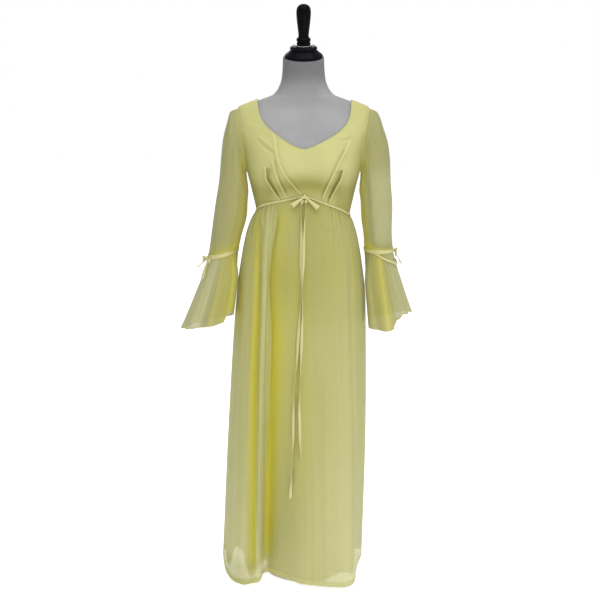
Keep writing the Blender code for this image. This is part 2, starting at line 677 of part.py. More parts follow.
def grid_mesh(name, columns, rows, place, closed=False):
    """An open grid whose points are placed by place(u, v), rows given as fractions."""
    bm = bmesh.new()
    bmesh.ops.create_grid(bm, x_segments=columns, y_segments=len(rows) - 1, size=0.5)
    for vert in bm.verts:
        u = vert.co.x + 0.5
        v = rows[round((vert.co.y + 0.5) * (len(rows) - 1))]
        vert.co = place(u, v)
    if closed:
        bmesh.ops.remove_doubles(bm, verts=bm.verts, dist=0.00001)
    mesh = bpy.data.meshes.new(name)
    bm.to_mesh(mesh)
    bm.free()
    return mesh


def add_cloth(name, columns, rows, place, finish, inside, wall=CLOTH, closed=False):
    """A cloth panel with its outer face on the surface and its wall towards inside."""
    mesh = grid_mesh(name, columns, rows, place, closed)
    face = mesh.polygons[len(mesh.polygons) // 2]
    if face.normal.dot(face.center - inside(face.center)) < 0:
        mesh.flip_normals()
    obj = add_object(name, mesh, finish)
    solid = obj.modifiers.new("wall", "SOLIDIFY")
    solid.thickness = wall
    solid.offset = -1.0
    return obj


def body_axis(point):
    return Vector((0.0, 0.0, point.z))


def sleeve_axis(side):
    sign = -1 if side == "left" else 1
    return lambda point: Vector((sign * SLEEVE_MIDDLE, 0.0, point.z))


def turned(name, profile, finish, steps=28, lift=None):
    """A turned solid: its profile runs down the outer side and is screwed round Z."""
    mesh = bpy.data.meshes.new(name)
    verts = [(p.radius, 0.0, p.height) for p in profile]
    mesh.from_pydata(verts, [(i, i + 1) for i in range(len(verts) - 1)], [])
    obj = add_object(name, mesh, finish)
    screw = obj.modifiers.new("turn", "SCREW")
    screw.steps = steps
    screw.render_steps = steps
    screw.use_merge_vertices = True
    screw.merge_threshold = 0.00005
    screw.use_normal_calculate = False
    if lift is not None:
        obj.matrix_world = lift
    return obj


def narrowed(function, start, end):
    """The same surface with its u run between two places."""
    return lambda u, v: function(start + (end - start) * u, v)


# Pieces

def bodice_rows():
    """Rows at the same heights on front, backs and sleeves, so that the seams match."""
    rows = [ARMHOLE_START * i / SIDE_STEPS for i in range(SIDE_STEPS)]
    rows += [ARMHOLE_START + (1 - ARMHOLE_START) * i / ARMHOLE_STEPS for i in range(ARMHOLE_STEPS + 1)]
    rows[0] = SEAM_ROW
    rows[-1] = 1 - SEAM_ROW
    return rows


def add_bodice():
    add_cloth("bodice_front", 40, bodice_rows(), narrowed(bodice_front, SEAM_TURN, 1 - SEAM_TURN),
              "chiffon", body_axis)
    for side, name in ((-1, "bodice_back_left"), (1, "bodice_back_right")):
        def place(u, v, side=side):
            point = bodice_back(2 * SEAM_TURN + u * (1 - 2 * SEAM_TURN), v, side)
            return open_at_zip(point, u, side)
        add_cloth(name, 9, bodice_rows(), place, "chiffon", body_axis)


def open_at_zip(point, u, side):
    """Slide the last stretch of a back panel off the centre line, clear of the zip."""
    near = ease((u - 0.75) / 0.25)
    wide = ZIP_HALF + ZIP_GAP if point.z > ZIP_END - 0.008 else SEAM_HALF
    if near <= 0:
        return point
    target = side * wide
    point.x += target * near
    return point


def add_skirt():
    add_cloth("skirt_front", FRONT_COLUMNS, SKIRT_ROWS, narrowed(skirt_front, SEAM_TURN, 1 - SEAM_TURN),
              "chiffon", body_axis)
    for side, name in ((-1, "skirt_back_left"), (1, "skirt_back_right")):
        def place(u, v, side=side):
            point = skirt_back(2 * SEAM_TURN + u * (1 - 2 * SEAM_TURN), v, side)
            return open_at_zip(point, u, side)
        add_cloth(name, BACK_COLUMNS, SKIRT_ROWS, place, "chiffon", body_axis)


def add_lining():
    add_cloth("skirt_lining", LINING_COLUMNS, LINING_ROWS, lining, "chiffon", body_axis, closed=True)


def add_sleeves():
    for side in ("left", "right"):
        sign = -1 if side == "left" else 1

        def upper(u, v, side=side, sign=sign):
            point = sleeve(u, v, side)
            point.x += sign * 2 * SEAM_HALF * (1 - v) ** 6
            return point

        add_cloth("sleeve_" + side, 2 * ARMHOLE_STEPS, SLEEVE_ROWS, upper, "sheer",
                  sleeve_axis(side), closed=True)
        add_cloth("sleeve_flounce_" + side, 4 * FLOUNCE_WAVES, FLOUNCE_ROWS,
                  lambda u, v, side=side: flounce(u, v, side), "sheer", sleeve_axis(side), closed=True)


def ribbon_on_sleeve(side):
    """A band over the flounce seam, from both panels' points moved out."""
    sign = -1 if side == "left" else 1

    def place(u, v):
        run = (v - 0.5) * RIBBON_WIDTH
        if run < 0:
            point = sleeve(u, 1 + run / PANEL_RUN.sleeve, side)
        else:
            point = flounce(u, run / PANEL_RUN.flounce, side)
        away = point - Vector((sign * SLEEVE_MIDDLE, 0.0, point.z))
        return point + away.normalized() * SLEEVE_RIBBON_CLEAR
    return place


def waist_ribbon(u, v):
    """A band over the empire seam, one turn from the zip, on both panels' points moved out."""
    run = (v - 0.5) * RIBBON_WIDTH
    if 0.25 <= u <= 0.75:
        angle = (u - 0.5) * 2 * math.pi
        if run < 0:
            point = bodice_front(u * 2 - 0.5, -run / PANEL_RUN.bodice_front)
        else:
            turn = read(FRONT_FOLDS, "seam", "turn", math.degrees(angle))
            point = skirt_front(turn, run / PANEL_RUN.skirt_front, 0.0)
        away = Vector((math.sin(angle), -math.cos(angle), 0.0))
    else:
        side, turn = (-1, 1 - u * 4) if u < 0.25 else (1, (u - 0.75) * 4)
        if run < 0:
            point = bodice_back(turn, -run / PANEL_RUN.bodice_back, side)
        else:
            point = skirt_back(turn, run / PANEL_RUN.skirt_back, side, 0.0)
        angle = turn * math.pi / 2
        away = Vector((side * math.cos(angle), math.sin(angle), 0.0))
    return point + away * RIBBON_CLEAR


def strip(name, points, across, width, finish, wall=RIBBON):
    """A ribbon along a list of points, with its width direction at each point."""
    def place(u, v):
        k = round(v * (len(points) - 1))
        return points[k] + across[k] * (u - 0.5) * width
    rows = [i / (len(points) - 1) for i in range(len(points))]
    mesh = grid_mesh(name, 1, rows, place)
    obj = add_object(name, mesh, finish)
    solid = obj.modifiers.new("wall", "SOLIDIFY")
    solid.thickness = wall
    solid.offset = 0.0
    return obj


def applied(obj):
    """The object's evaluated mesh, with its modifiers done."""
    bpy.context.view_layer.update()
    graph = bpy.context.evaluated_depsgraph_get()
    return bpy.data.meshes.new_from_object(obj.evaluated_get(graph))


def loop_path(knot, reach, facing, fat):
    """Out from the knot, round a soft end and back, open by fat each way."""
    length = reach.length
    along = reach / length
    path = [knot + facing * LOOP_ROOT, knot + reach * 0.5 + facing * (fat + LOOP_ROOT) / 2]
    for i in range(7):
        angle = math.pi * (0.5 - i / 6)
        path.append(knot + along * (length - fat + fat * math.cos(angle)) + facing * fat * math.sin(angle))
    path += [knot + reach * 0.5 - facing * (fat + LOOP_ROOT) / 2, knot - facing * LOOP_ROOT]
    return path


def bow(name, knot, loops, tails, width, facing):
    """A flat bow: loops and tails joined to a knot. facing is the way it looks out."""
    facing = facing.normalized()
    pieces = []
    for k, loop in enumerate(loops):
        path = loop_path(knot, loop.reach, facing, LOOP_FAT)
        pieces.append(strip(f"{name}_loop_{k}", path, [loop.across] * len(path), width, "ribbon"))
    for k, (path, across) in enumerate(tails):
        pieces.append(strip(f"{name}_tail_{k}", path, [across] * len(path), width, "ribbon"))
    bm = bmesh.new()
    bmesh.ops.create_uvsphere(bm, u_segments=10, v_segments=6, radius=1.0)
    turn = facing.to_track_quat("Y", "Z").to_matrix().to_4x4()
    size = Matrix.Diagonal((width * 0.42, KNOT_THICK, width * 0.62, 1.0))
    bmesh.ops.transform(bm, matrix=Matrix.Translation(knot) @ turn @ size, verts=bm.verts)
    mesh = bpy.data.meshes.new(name)
    bm.to_mesh(mesh)
    bm.free()
    body = add_object(name, mesh, "ribbon")
    for piece in pieces:
        union = body.modifiers.new("join", "BOOLEAN")
        union.operation = "UNION"
        union.object = piece
    done = applied(body)
    bpy.data.objects.remove(body)
    for piece in pieces:
        bpy.data.objects.remove(piece)
    bm = bmesh.new()
    bm.from_mesh(done)
    bmesh.ops.remove_doubles(bm, verts=bm.verts, dist=0.00002)
    bm.to_mesh(done)
    bm.free()
    return add_object(name, done, "ribbon")


def front_at(x, z):
    """The skirt front's point at a width and a height, on its flat middle stretch."""
    low, high = FLAT_STRETCH
    point = skirt_front(0.5, 0.5, 0.0)
    for _ in range(26):
        u = (low + high) / 2
        angle = math.radians(read(FRONT_FOLDS, "turn", "seam", u))
        top = seam_height(arc_power(math.sin(angle)))
        point = skirt_front(u, (top - z) / (top - HEM), 0.0)
        if point.x < x:
            low = u
        else:
            high = u
    return point


def add_waist_trim():
    add_cloth("waist_ribbon", 52, RIBBON_ROWS, narrowed(waist_ribbon, ZIP_SHARE, 1 - ZIP_SHARE),
              "ribbon", body_axis, wall=RIBBON)
    knot = WAIST_KNOT + Vector((0.0, torso_point(0.0, seam_height(0.0), -1).y, 0.0))
    bow("waist_bow", knot, WAIST_LOOPS, (), RIBBON_WIDTH, Vector((0.0, -1.0, 0.12)))
    for side, hangs in STREAMERS.items():
        points, across = [], []
        sign = -1 if side == "left" else 1
        for i in range(STREAMER_STEPS + 1):
            z = hangs[0].height + (hangs[-1].height - hangs[0].height) * i / STREAMER_STEPS
            x = smooth([-h.height for h in hangs], [h.x for h in hangs], -z)
            twist = STREAMER_TWIST * math.sin(sign * 2.0 + STREAMER_TURNS * (1 - z)) * ease(i / 6)
            out = STREAMER_CLEAR + RIBBON_WIDTH / 2 * abs(math.sin(twist))
            points.append(Vector((x, front_at(x, z).y - out, z)))
            across.append(Vector((math.cos(twist), math.sin(twist), 0.0)))
        strip("waist_streamer_" + side, points, across, RIBBON_WIDTH, "ribbon")


def add_sleeve_trim():
    for side in ("left", "right"):
        sign = -1 if side == "left" else 1
        place = ribbon_on_sleeve(side)
        add_cloth("sleeve_ribbon_" + side, 20, RIBBON_ROWS, place, "ribbon", sleeve_axis(side),
                  wall=RIBBON, closed=True)
        out = Vector((sign * 0.80, -0.60, 0.0))
        along = Vector((-sign * 0.60, -0.80, 0.0))
        down = Vector((0.0, 0.0, -1.0))
        knot = place(SLEEVE_KNOT_TURN, 0.5) + out * SLEEVE_KNOT_OUT
        loops = [Loop(along * r.along + out * r.out + down * r.down, -down) for r in SLEEVE_LOOPS]
        tails = []
        for r in SLEEVE_TAILS:
            path = []
            for i in range(8):
                t = i / 7
                drop = r.down * t
                path.append(knot + along * r.along * t + out * (r.out * drop * ease(t * 2)) + down * drop)
            tails.append((path, (along + out * 0.1).normalized()))
        bow("sleeve_bow_" + side, knot, loops, tails, RIBBON_WIDTH * 0.8, out)


def zip_skin(z):
    """How far back the centre back line lies at a height, on bodice and skirt."""
    if z >= SEAM_BACK:
        return torso_point(0.0, z, 1).y
    return skirt_back(1.0, (SEAM_BACK - z) / (SEAM_BACK - HEM), 1, 0.0).y


def add_zip():
    """Chain between the centre back edges, slider near the top, and its pull tab."""
    levels = [ZIP_END + 0.001 + (ZIP_TOP - ZIP_END) * i / CHAIN_STEPS for i in range(CHAIN_STEPS + 1)]

    def place(u, v):
        z = levels[round(v * CHAIN_STEPS)]
        return Vector(((u - 0.5) * 2 * ZIP_HALF, zip_skin(z), z))

    add_cloth("zip_chain", 1, [i / CHAIN_STEPS for i in range(CHAIN_STEPS + 1)], place, "nylon",
              body_axis, wall=CHAIN_WALL)

    rise = zip_skin(SLIDER_Z - 0.01) - zip_skin(SLIDER_Z + 0.01)
    seat = (Matrix.Translation((0.0, zip_skin(SLIDER_Z) + SLIDER_OUT, SLIDER_Z))
            @ Matrix.Rotation(math.atan2(rise, 0.02), 4, "X"))
    hinge = Matrix.Translation((0.0, HINGE_OUT, 0.0))
    body = flat_plate("slider_body", SLIDER_PLATE)
    crown = flat_plate("crown", CROWN_PLATE)
    crown.matrix_world = hinge @ Matrix.Rotation(math.pi / 2, 4, "Y")
    union = body.modifiers.new("join", "BOOLEAN")
    union.operation = "UNION"
    union.object = crown
    mesh = applied(body)
    bpy.data.objects.remove(body)
    bpy.data.objects.remove(crown)
    add_object("zip_slider", mesh, "steel").matrix_world = seat
    pull = flat_plate("zip_pull", PULL_PLATE)
    pull.matrix_world = seat @ hinge @ Matrix.Rotation(math.pi / 2, 4, "X")


def flat_plate(name, plate):
    """A flat plate with an optional window, its outline in X and Y, its depth along Z."""
    curve = bpy.data.curves.new(name, "CURVE")
    curve.dimensions = "2D"
    curve.fill_mode = "BOTH"
    curve.extrude = plate.depth / 2
    outlines = [(plate.width, plate.height, plate.drop)]
    if plate.hole_width:
        outlines.append((plate.hole_width, plate.hole_height, plate.hole_drop))
    for wide, high, drop in outlines:
        spline = curve.splines.new("POLY")
        spline.points.add(3)
        corners = ((-1, -1), (1, -1), (1, 1), (-1, 1))
        for point, (cx, cy) in zip(spline.points, corners):
            point.co = (cx * wide / 2, cy * high / 2 - drop, 0, 1)
        spline.use_cyclic_u = True
    obj = bpy.data.objects.new(name, curve)
    parts.objects.link(obj)
    mesh = applied(obj)
    bpy.data.objects.remove(obj)
    bm = bmesh.new()
    bm.from_mesh(mesh)
    bmesh.ops.remove_doubles(bm, verts=bm.verts, dist=0.00001)
    bmesh.ops.recalc_face_normals(bm, faces=bm.faces)
    bm.to_mesh(mesh)
    bm.free()
    return add_object(name, mesh, "steel")


def form_clearance(z):
    """How far the form lies inside the dress: less on the neck, more at the waist."""
    clear = FORM_CLEAR - NECK_SLACK * ease((z - 1.425) / 0.02)
    clear += WAIST_SLACK * ease((1.06 - z) / 0.10) * ease((z - 0.80) / 0.01)
    return clear + (FOOT_DRAW if z == TORSO_END else 0.0)


def form_point(u, v):
    """The torso by level, one turn from the centre front, with a slanting top to the neck."""
    z = FORM_LEVELS[round(v * (len(FORM_LEVELS) - 1))]
    turn = 2 * math.pi * u
    facing = -1 if math.cos(turn) >= 0 else 1
    angle = math.asin(max(-1.0, min(1.0, math.sin(turn))))
    shoulder = FORM_DROP * ease((z - 1.33) / 0.04) * ease((1.445 - z) / 0.03)
    point = torso_point(angle, z + shoulder, facing, form_clearance(z))
    point.z = z + math.tan(NECK_TILT) * point.y * ease((z - 1.44) / (NECK_TOP - 1.44))
    return point


def add_form():
    """Torso closed at both ends, turned neck fittings, pole and base."""
    rows = [i / (len(FORM_LEVELS) - 1) for i in range(len(FORM_LEVELS))]
    mesh = grid_mesh("form_body", 26, rows, form_point, True)
    bm = bmesh.new()
    bm.from_mesh(mesh)
    bmesh.ops.holes_fill(bm, edges=[e for e in bm.edges if e.is_boundary], sides=0)
    bmesh.ops.recalc_face_normals(bm, faces=bm.faces)
    bm.to_mesh(mesh)
    bm.free()
    add_object("form_body", mesh, "jersey")

    neck = Matrix.Translation((0, 0, NECK_TOP)) @ Matrix.Rotation(NECK_TILT, 4, "X")
    turned("form_cap", CAP, "black", 20, neck)
    turned("form_washer", WASHER, "steel", 16, neck)
    turned("form_handle", HANDLE, "black", 16, neck)
    turned("form_base", BASE, "black", 28)
    pole_top = TORSO_END - POLE_GAP
    pole_foot = BASE[0].height + POLE_GAP
    pole = (Turn(0.0, pole_top), Turn(POLE_RADIUS, pole_top), Turn(POLE_RADIUS, pole_foot),
            Turn(0.0, pole_foot))
    turned("form_pole", pole, "steel", 16)


for old in list(bpy.data.objects):
    bpy.data.objects.remove(old)
parts = bpy.data.collections.new("bridesmaid_dress")
bpy.context.scene.collection.children.link(parts)
add_form()
add_bodice()
add_skirt()
add_lining()
add_sleeves()
add_waist_trim()
add_sleeve_trim()
add_zip()
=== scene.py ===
"""The looks of a bridesmaid dress on its dress form.

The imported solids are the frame. Every cloth piece is a thin sheet on the same cut as its
solid, with the pleats, gathers, hems and stitching that a solid leaves out.
Metres, +Z up, the front faces -Y.
"""
import bisect
import math
from collections import namedtuple

import bmesh
import bpy
from mathutils import Matrix, Vector, noise


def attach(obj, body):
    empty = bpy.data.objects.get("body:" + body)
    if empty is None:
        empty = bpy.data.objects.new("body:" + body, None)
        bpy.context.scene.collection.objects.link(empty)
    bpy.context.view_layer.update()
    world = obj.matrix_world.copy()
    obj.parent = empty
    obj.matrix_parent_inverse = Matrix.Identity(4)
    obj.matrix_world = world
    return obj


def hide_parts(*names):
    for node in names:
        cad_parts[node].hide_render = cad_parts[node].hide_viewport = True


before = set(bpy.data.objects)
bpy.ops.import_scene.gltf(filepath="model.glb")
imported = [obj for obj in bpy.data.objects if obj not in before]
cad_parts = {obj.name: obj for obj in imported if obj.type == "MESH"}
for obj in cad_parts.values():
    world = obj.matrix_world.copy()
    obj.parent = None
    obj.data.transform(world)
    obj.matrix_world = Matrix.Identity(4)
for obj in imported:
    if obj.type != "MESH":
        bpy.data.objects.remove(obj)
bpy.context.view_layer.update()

DRESS = "dress_and_form"
SIDES = {"left": -1, "right": 1}


def rows_of(kind, rows):
    """A table of named rows."""
    return tuple(kind(*row) for row in rows)


# The photograph's camera: its focal length is known in pixels of its square frame
CAMERA_PLACE = Vector((-0.010, -3.4, 1.48))
CAMERA_TILT = math.radians(90 - 10.74)
FRAME_PIXELS = 600
FOCAL_PIXELS = 1173
SENSOR = 36.0

# Cloth walls
CHIFFON_WALL = 0.0005
LINING_WALL = 0.0004
RIBBON_WALL = 0.0004
ROLLED = 0.0009
SEAM_HALF = 0.0001
SEAM_TURN = 0.0004
SEAM_ROW = 0.0006
SHOULDER_ROW = 0.00006
SEAM_RIDGE = 0.0011
RIDGE_SINK = 0.0007
ARMHOLE_ROLL = 0.0011
RIBBON_WIDTH = 0.010
RIBBON_CLEAR = 0.0024
SLEEVE_RIBBON_CLEAR = 0.0019

# Levels, as in the solids
HEM = 0.016
LINING_INSIDE = 0.0075
LINING_TOP_INSIDE = 0.0022
LINING_TOP = 0.06
ARMPIT = 1.215
SHOULDER_END = 1.393
ARMHOLE_START = 0.34
ARMHOLE_BOW = 0.003
SHOULDER_PART = 0.125
SHOULDER_PART_BACK = 0.4
SIDE_HOLD = 5
BUST = 1.238
ROUND = 2.2

# Centre back zip
ZIP_HALF = 0.0026
ZIP_GAP = 0.0004
ZIP_TOP = 1.372
ZIP_END = 0.970

# Dress form
FORM_CLEAR = 0.0034
FORM_DROP = 0.0035
NECK_SLACK = 0.0014
WAIST_SLACK = 0.012
FOOT_ROUND = 0.010
TORSO_END = 0.790
NECK_TOP = 1.5360
NECK_TILT = math.radians(14.0)
POLE_RADIUS = 0.0125
POLE_GAP = 0.0003

# The dressed torso by height: half width, and depth to the front and to the back
Section = namedtuple("Section", "height half_width front back")
TORSO = rows_of(Section, (
    (0.78, 0.15, 0.085, 0.105), (0.86, 0.16, 0.094, 0.112), (0.94, 0.15, 0.096, 0.1),
    (1.02, 0.124, 0.094, 0.086), (1.095, 0.135, 0.104, 0.088), (1.15, 0.147, 0.111, 0.093),
    (1.215, 0.163, 0.113, 0.1), (1.26, 0.176, 0.108, 0.104), (1.3, 0.185, 0.099, 0.103),
    (1.34, 0.19, 0.086, 0.096), (1.37, 0.1912, 0.07, 0.084), (1.387, 0.1895, 0.058, 0.072),
    (1.397, 0.186, 0.052, 0.064), (1.408, 0.163, 0.048, 0.058), (1.417, 0.139, 0.047, 0.056),
    (1.424, 0.119, 0.048, 0.056), (1.434, 0.089, 0.05, 0.057), (1.451, 0.0735, 0.054, 0.058),
    (1.48, 0.064, 0.055, 0.057), (1.545, 0.059, 0.056, 0.056),
))

# Empire seam: its height at each part of the half width, left side to right side
SeamPoint = namedtuple("SeamPoint", "across height")
EMPIRE_SEAM = rows_of(SeamPoint, (
    (-1.0, 1.102), (-0.85, 1.12), (-0.6, 1.1325), (-0.3, 1.1425), (-0.06, 1.1515), (0.02, 1.1532),
    (0.1, 1.15), (0.3, 1.1378), (0.56, 1.1228), (0.8, 1.107), (1.0, 1.089),
))
SEAM_BACK = 1.084

# Neckline, from the left shoulder down to the point and up to the right shoulder
NeckPoint = namedtuple("NeckPoint", "x height")
NECKLINE = rows_of(NeckPoint, (
    (-0.131, 1.4232), (-0.13, 1.403), (-0.124, 1.376), (-0.106, 1.3475), (-0.08, 1.3255), (-0.054, 1.307),
    (-0.022, 1.2895), (0.0026, 1.2832), (0.023, 1.2882), (0.05, 1.3005), (0.0745, 1.3137),
    (0.107, 1.3352), (0.1236, 1.354), (0.1335, 1.382), (0.137, 1.4209),
))
NECK_BACK_DROP = 0.040
NECK_POINT_X = 0.0026

# Bust pleats: each is a fold that laps towards the centre, along a line from its top to
# the empire seam. Height is the crest's, gentle the width of its slope, fade its soft top
Pleat = namedtuple("Pleat", "side xs heights height gentle fade pocket hollow")
PLEATS = (
    Pleat(-1, (-0.0890, -0.0822, -0.0713, -0.0486, -0.0058), (1.3400, 1.3204, 1.2583, 1.2102, 1.1573),
          0.0062, 0.0130, 0.060, 0.25, 0.012),
    Pleat(-1, (-0.0867, -0.0800, -0.0715, -0.0459), (1.2527, 1.2270, 1.2012, 1.1480),
          0.0076, 0.0120, 0.006, 0.35, 0.010),
    Pleat(-1, (-0.1068, -0.1056, -0.0900, -0.0661), (1.2347, 1.2068, 1.1760, 1.1410),
          0.0070, 0.0130, 0.007, 0.85, 0.023),
    Pleat(1, (0.1331, 0.1130, 0.0932, 0.0517), (1.3122, 1.2720, 1.2358, 1.1480),
          0.0060, 0.0150, 0.050, 0.40, 0.012),
    Pleat(1, (0.1128, 0.1050, 0.0936, 0.0713), (1.2272, 1.2020, 1.1789, 1.1380),
          0.0072, 0.0130, 0.008, 0.85, 0.024),
)
PLEAT_STEP = 0.0032
PLEAT_FOOT = 0.016

# Sharp creases down the skirt front, beside and in the deep fold
Crease = namedtuple("Crease", "xs heights width depth fade")
SKIRT_CREASES = (
    Crease((-0.1210, -0.1225, -0.1248, -0.1300, -0.1405), (1.120, 0.925, 0.800, 0.720, 0.153),
           0.0034, 0.0050, 0.05),
    Crease((-0.0700, -0.0775, -0.0892, -0.0980, -0.0930, -0.1135, -0.1195),
           (1.140, 1.062, 1.000, 0.895, 0.772, 0.273, 0.076), 0.0034, 0.0036, 0.05),
)
# Soft folds seen from the front, from one end to the other; a negative height is a crease
Drag = namedtuple("Drag", "x0 z0 x1 z1 width height")
BODICE_DRAGS = rows_of(Drag, (
    (-0.14, 1.314, -0.076, 1.265, 0.005, -0.0032), (-0.135, 1.323, -0.072, 1.273, 0.0065, 0.0026),
    (0.098, 1.304, 0.138, 1.312, 0.004, -0.0022), (0.098, 1.312, 0.138, 1.32, 0.006, 0.0018),
    (-0.18, 1.35, -0.13, 1.342, 0.007, 0.0016), (-0.178, 1.33, -0.135, 1.326, 0.006, -0.0016),
    (0.135, 1.342, 0.182, 1.356, 0.007, 0.0014), (-0.152, 1.23, -0.118, 1.13, 0.009, 0.0016),
    (0.132, 1.22, 0.126, 1.12, 0.007, 0.0018), (0.148, 1.21, 0.133, 1.115, 0.006, -0.0014),
))
SKIRT_DRAGS = rows_of(Drag, (
    (0.036, 1.074, 0.12, 1.03, 0.0055, -0.0022), (0.038, 1.084, 0.124, 1.04, 0.008, 0.002),
    (0.01, 0.85, 0.135, 0.835, 0.009, 0.0016), (-0.06, 0.945, 0.0, 0.925, 0.008, -0.0014),
    (0.03, 0.8, 0.125, 0.79, 0.008, -0.0012), (-0.056, 0.93, 0.01, 0.915, 0.009, 0.0014),
    (0.112, 1.1, 0.142, 0.2, 0.01, 0.003), (0.133, 1.08, 0.156, 0.12, 0.0055, -0.0034),
    (0.056, 1.11, 0.07, 0.82, 0.01, 0.0012), (-0.035, 1.12, -0.042, 0.75, 0.009, 0.0012),
    (-0.156, 1.06, -0.208, 0.08, 0.011, 0.0036), (-0.175, 1.03, -0.227, 0.15, 0.008, -0.0026),
    (0.03, 0.115, 0.125, 0.09, 0.008, 0.0014), (0.025, 0.07, 0.12, 0.06, 0.006, -0.001),
))

# Fine wrinkles: how high, how often across and along, and where the noise is read
Wrinkle = namedtuple("Wrinkle", "height across along seed")
BODICE_WRINKLES = rows_of(Wrinkle, ((0.0007, 26, 20, 1.0), (0.0004, 70, 40, 2.0)))
SKIRT_WRINKLES = rows_of(Wrinkle, ((0.0016, 24, 3.2, 4.0), (0.0007, 60, 7, 5.0)))
BACK_WRINKLE = Wrinkle(0.0009, 22, 16, 7.0)
BACK_SLACK = Wrinkle(0.0010, 9, 5, 8.0)
SLEEVE_WRINKLE = 0.0016
FLOUNCE_WRINKLE = 0.0008
FLOUNCE_WAVE_CHANGE = 0.0022

# Skirt front: each fold's place round the seam, and its plan at the hip, knee and hem
Fold = namedtuple("Fold", "turn seam hip_x hip_y knee_x knee_y hem_x hem_y")
FRONT_FOLDS = rows_of(Fold, (
    (0.0, -90, -0.197, 0.01, -0.227, 0.034, -0.251, 0.06),
    (0.055, -78, -0.193, -0.028, -0.222, -0.022, -0.242, -0.02),
    (0.115, -68, -0.179, -0.068, -0.207, -0.082, -0.227, -0.095),
    (0.175, -59, -0.158, -0.098, -0.184, -0.13, -0.201, -0.152),
    (0.225, -53, -0.139, -0.116, -0.159, -0.149, -0.172, -0.17),
    (0.262, -49, -0.1265, -0.115, -0.142, -0.142, -0.149, -0.158),
    (0.29, -45, -0.118, -0.124, -0.13, -0.147, -0.136, -0.156),
    (0.318, -41, -0.108, -0.127, -0.1185, -0.136, -0.1255, -0.133),
    (0.35, -36, -0.1, -0.116, -0.111, -0.111, -0.1215, -0.093),
    (0.385, -31, -0.09, -0.12, -0.098, -0.107, -0.108, -0.08),
    (0.42, -26, -0.076, -0.131, -0.079, -0.118, -0.085, -0.098),
    (0.46, -20, -0.056, -0.138, -0.054, -0.131, -0.056, -0.122),
    (0.53, -7, -0.015, -0.144, -0.008, -0.154, -0.003, -0.166),
    (0.62, 10, 0.035, -0.143, 0.05, -0.16, 0.058, -0.181),
    (0.71, 27, 0.085, -0.132, 0.1, -0.154, 0.108, -0.189),
    (0.78, 42, 0.118, -0.116, 0.135, -0.138, 0.14, -0.174),
    (0.835, 54, 0.14, -0.097, 0.1545, -0.11, 0.1545, -0.13),
    (0.89, 66, 0.158, -0.07, 0.169, -0.072, 0.159, -0.074),
    (0.945, 78, 0.1735, -0.034, 0.181, -0.026, 0.168, -0.014),
    (1.0, 90, 0.1835, 0.01, 0.1895, 0.03, 0.182, 0.05),
))

# The lining's own plan: inside the skirt all round, and straight across behind the deep fold
LINING_FOLDS = rows_of(Fold, (
    (0.0, -90, -0.19, 0.009, -0.219, 0.032, -0.243, 0.056),
    (0.115, -68, -0.173, -0.064, -0.199, -0.078, -0.222, -0.085),
    (0.225, -53, -0.136, -0.108, -0.16, -0.141, -0.17, -0.155),
    (0.262, -49, -0.124, -0.106, -0.142, -0.13, -0.15, -0.135),
    (0.3, -44, -0.114, -0.11, -0.128, -0.11, -0.134, -0.06),
    (0.34, -38, -0.104, -0.108, -0.116, -0.09, -0.125, -0.038),
    (0.385, -31, -0.091, -0.11, -0.097, -0.083, -0.1, -0.036),
    (0.42, -26, -0.075, -0.122, -0.077, -0.096, -0.08, -0.06),
    (0.46, -20, -0.056, -0.131, -0.053, -0.124, -0.058, -0.112),
    (0.53, -7, -0.015, -0.137, -0.007, -0.147, 0.0, -0.158),
    (0.62, 10, 0.034, -0.136, 0.049, -0.153, 0.058, -0.173),
    (0.71, 27, 0.083, -0.125, 0.098, -0.147, 0.106, -0.181),
    (0.78, 42, 0.115, -0.11, 0.131, -0.131, 0.136, -0.165),
    (0.835, 54, 0.135, -0.092, 0.148, -0.106, 0.148, -0.125),
    (0.89, 66, 0.152, -0.066, 0.162, -0.07, 0.152, -0.074),
    (0.945, 78, 0.167, -0.032, 0.174, -0.026, 0.161, -0.014),
    (1.0, 90, 0.1765, 0.01, 0.182, 0.028, 0.175, 0.048),
))
# How far the lining's hem hangs above the skirt's, round the front and at the back
LiningHem = namedtuple("LiningHem", "turn rise")
LINING_HEMS = rows_of(LiningHem, (
    (0.0, 0.032), (0.05, 0.013), (0.1, 0.018), (0.135, 0.06), (0.165, 0.102), (0.2, 0.098), (0.23, 0.046),
    (0.255, 0.015), (0.33, 0.015), (0.35, 0.022), (0.385, 0.012), (0.6, 0.01), (0.66, 0.026),
    (0.72, 0.042), (0.78, 0.034), (0.83, 0.014), (0.885, 0.024), (0.935, 0.07), (0.97, 0.06),
    (1.0, 0.032),
))
LINING_HEM_BACK = 0.032

SEAM_SIDE = 1.100
HIP = 0.850
KNEE = 0.450
BackLevel = namedtuple("BackLevel", "height depth ripple")
SKIRT_BACK = rows_of(BackLevel, (
    (0.0, 0.186, 0.013), (0.45, 0.16, 0.01), (0.85, 0.13, 0.005), (1.0, 0.108, 0.002), (1.1, 0.088, 0.0),
))
BACK_RIPPLES = 3.5
BACK_LENGTH = 0.22
Gather = namedtuple("Gather", "start end")
FRONT_GATHERS = rows_of(Gather, (
    (0.01, 0.4), (0.7, 0.99),
))
GATHER_PITCH = 0.0125
GATHER_DEEP = 0.0023
GATHER_FADE = 0.100
SEAM_LENGTH = 0.42
SKIRT_HEM_BAND = 0.015

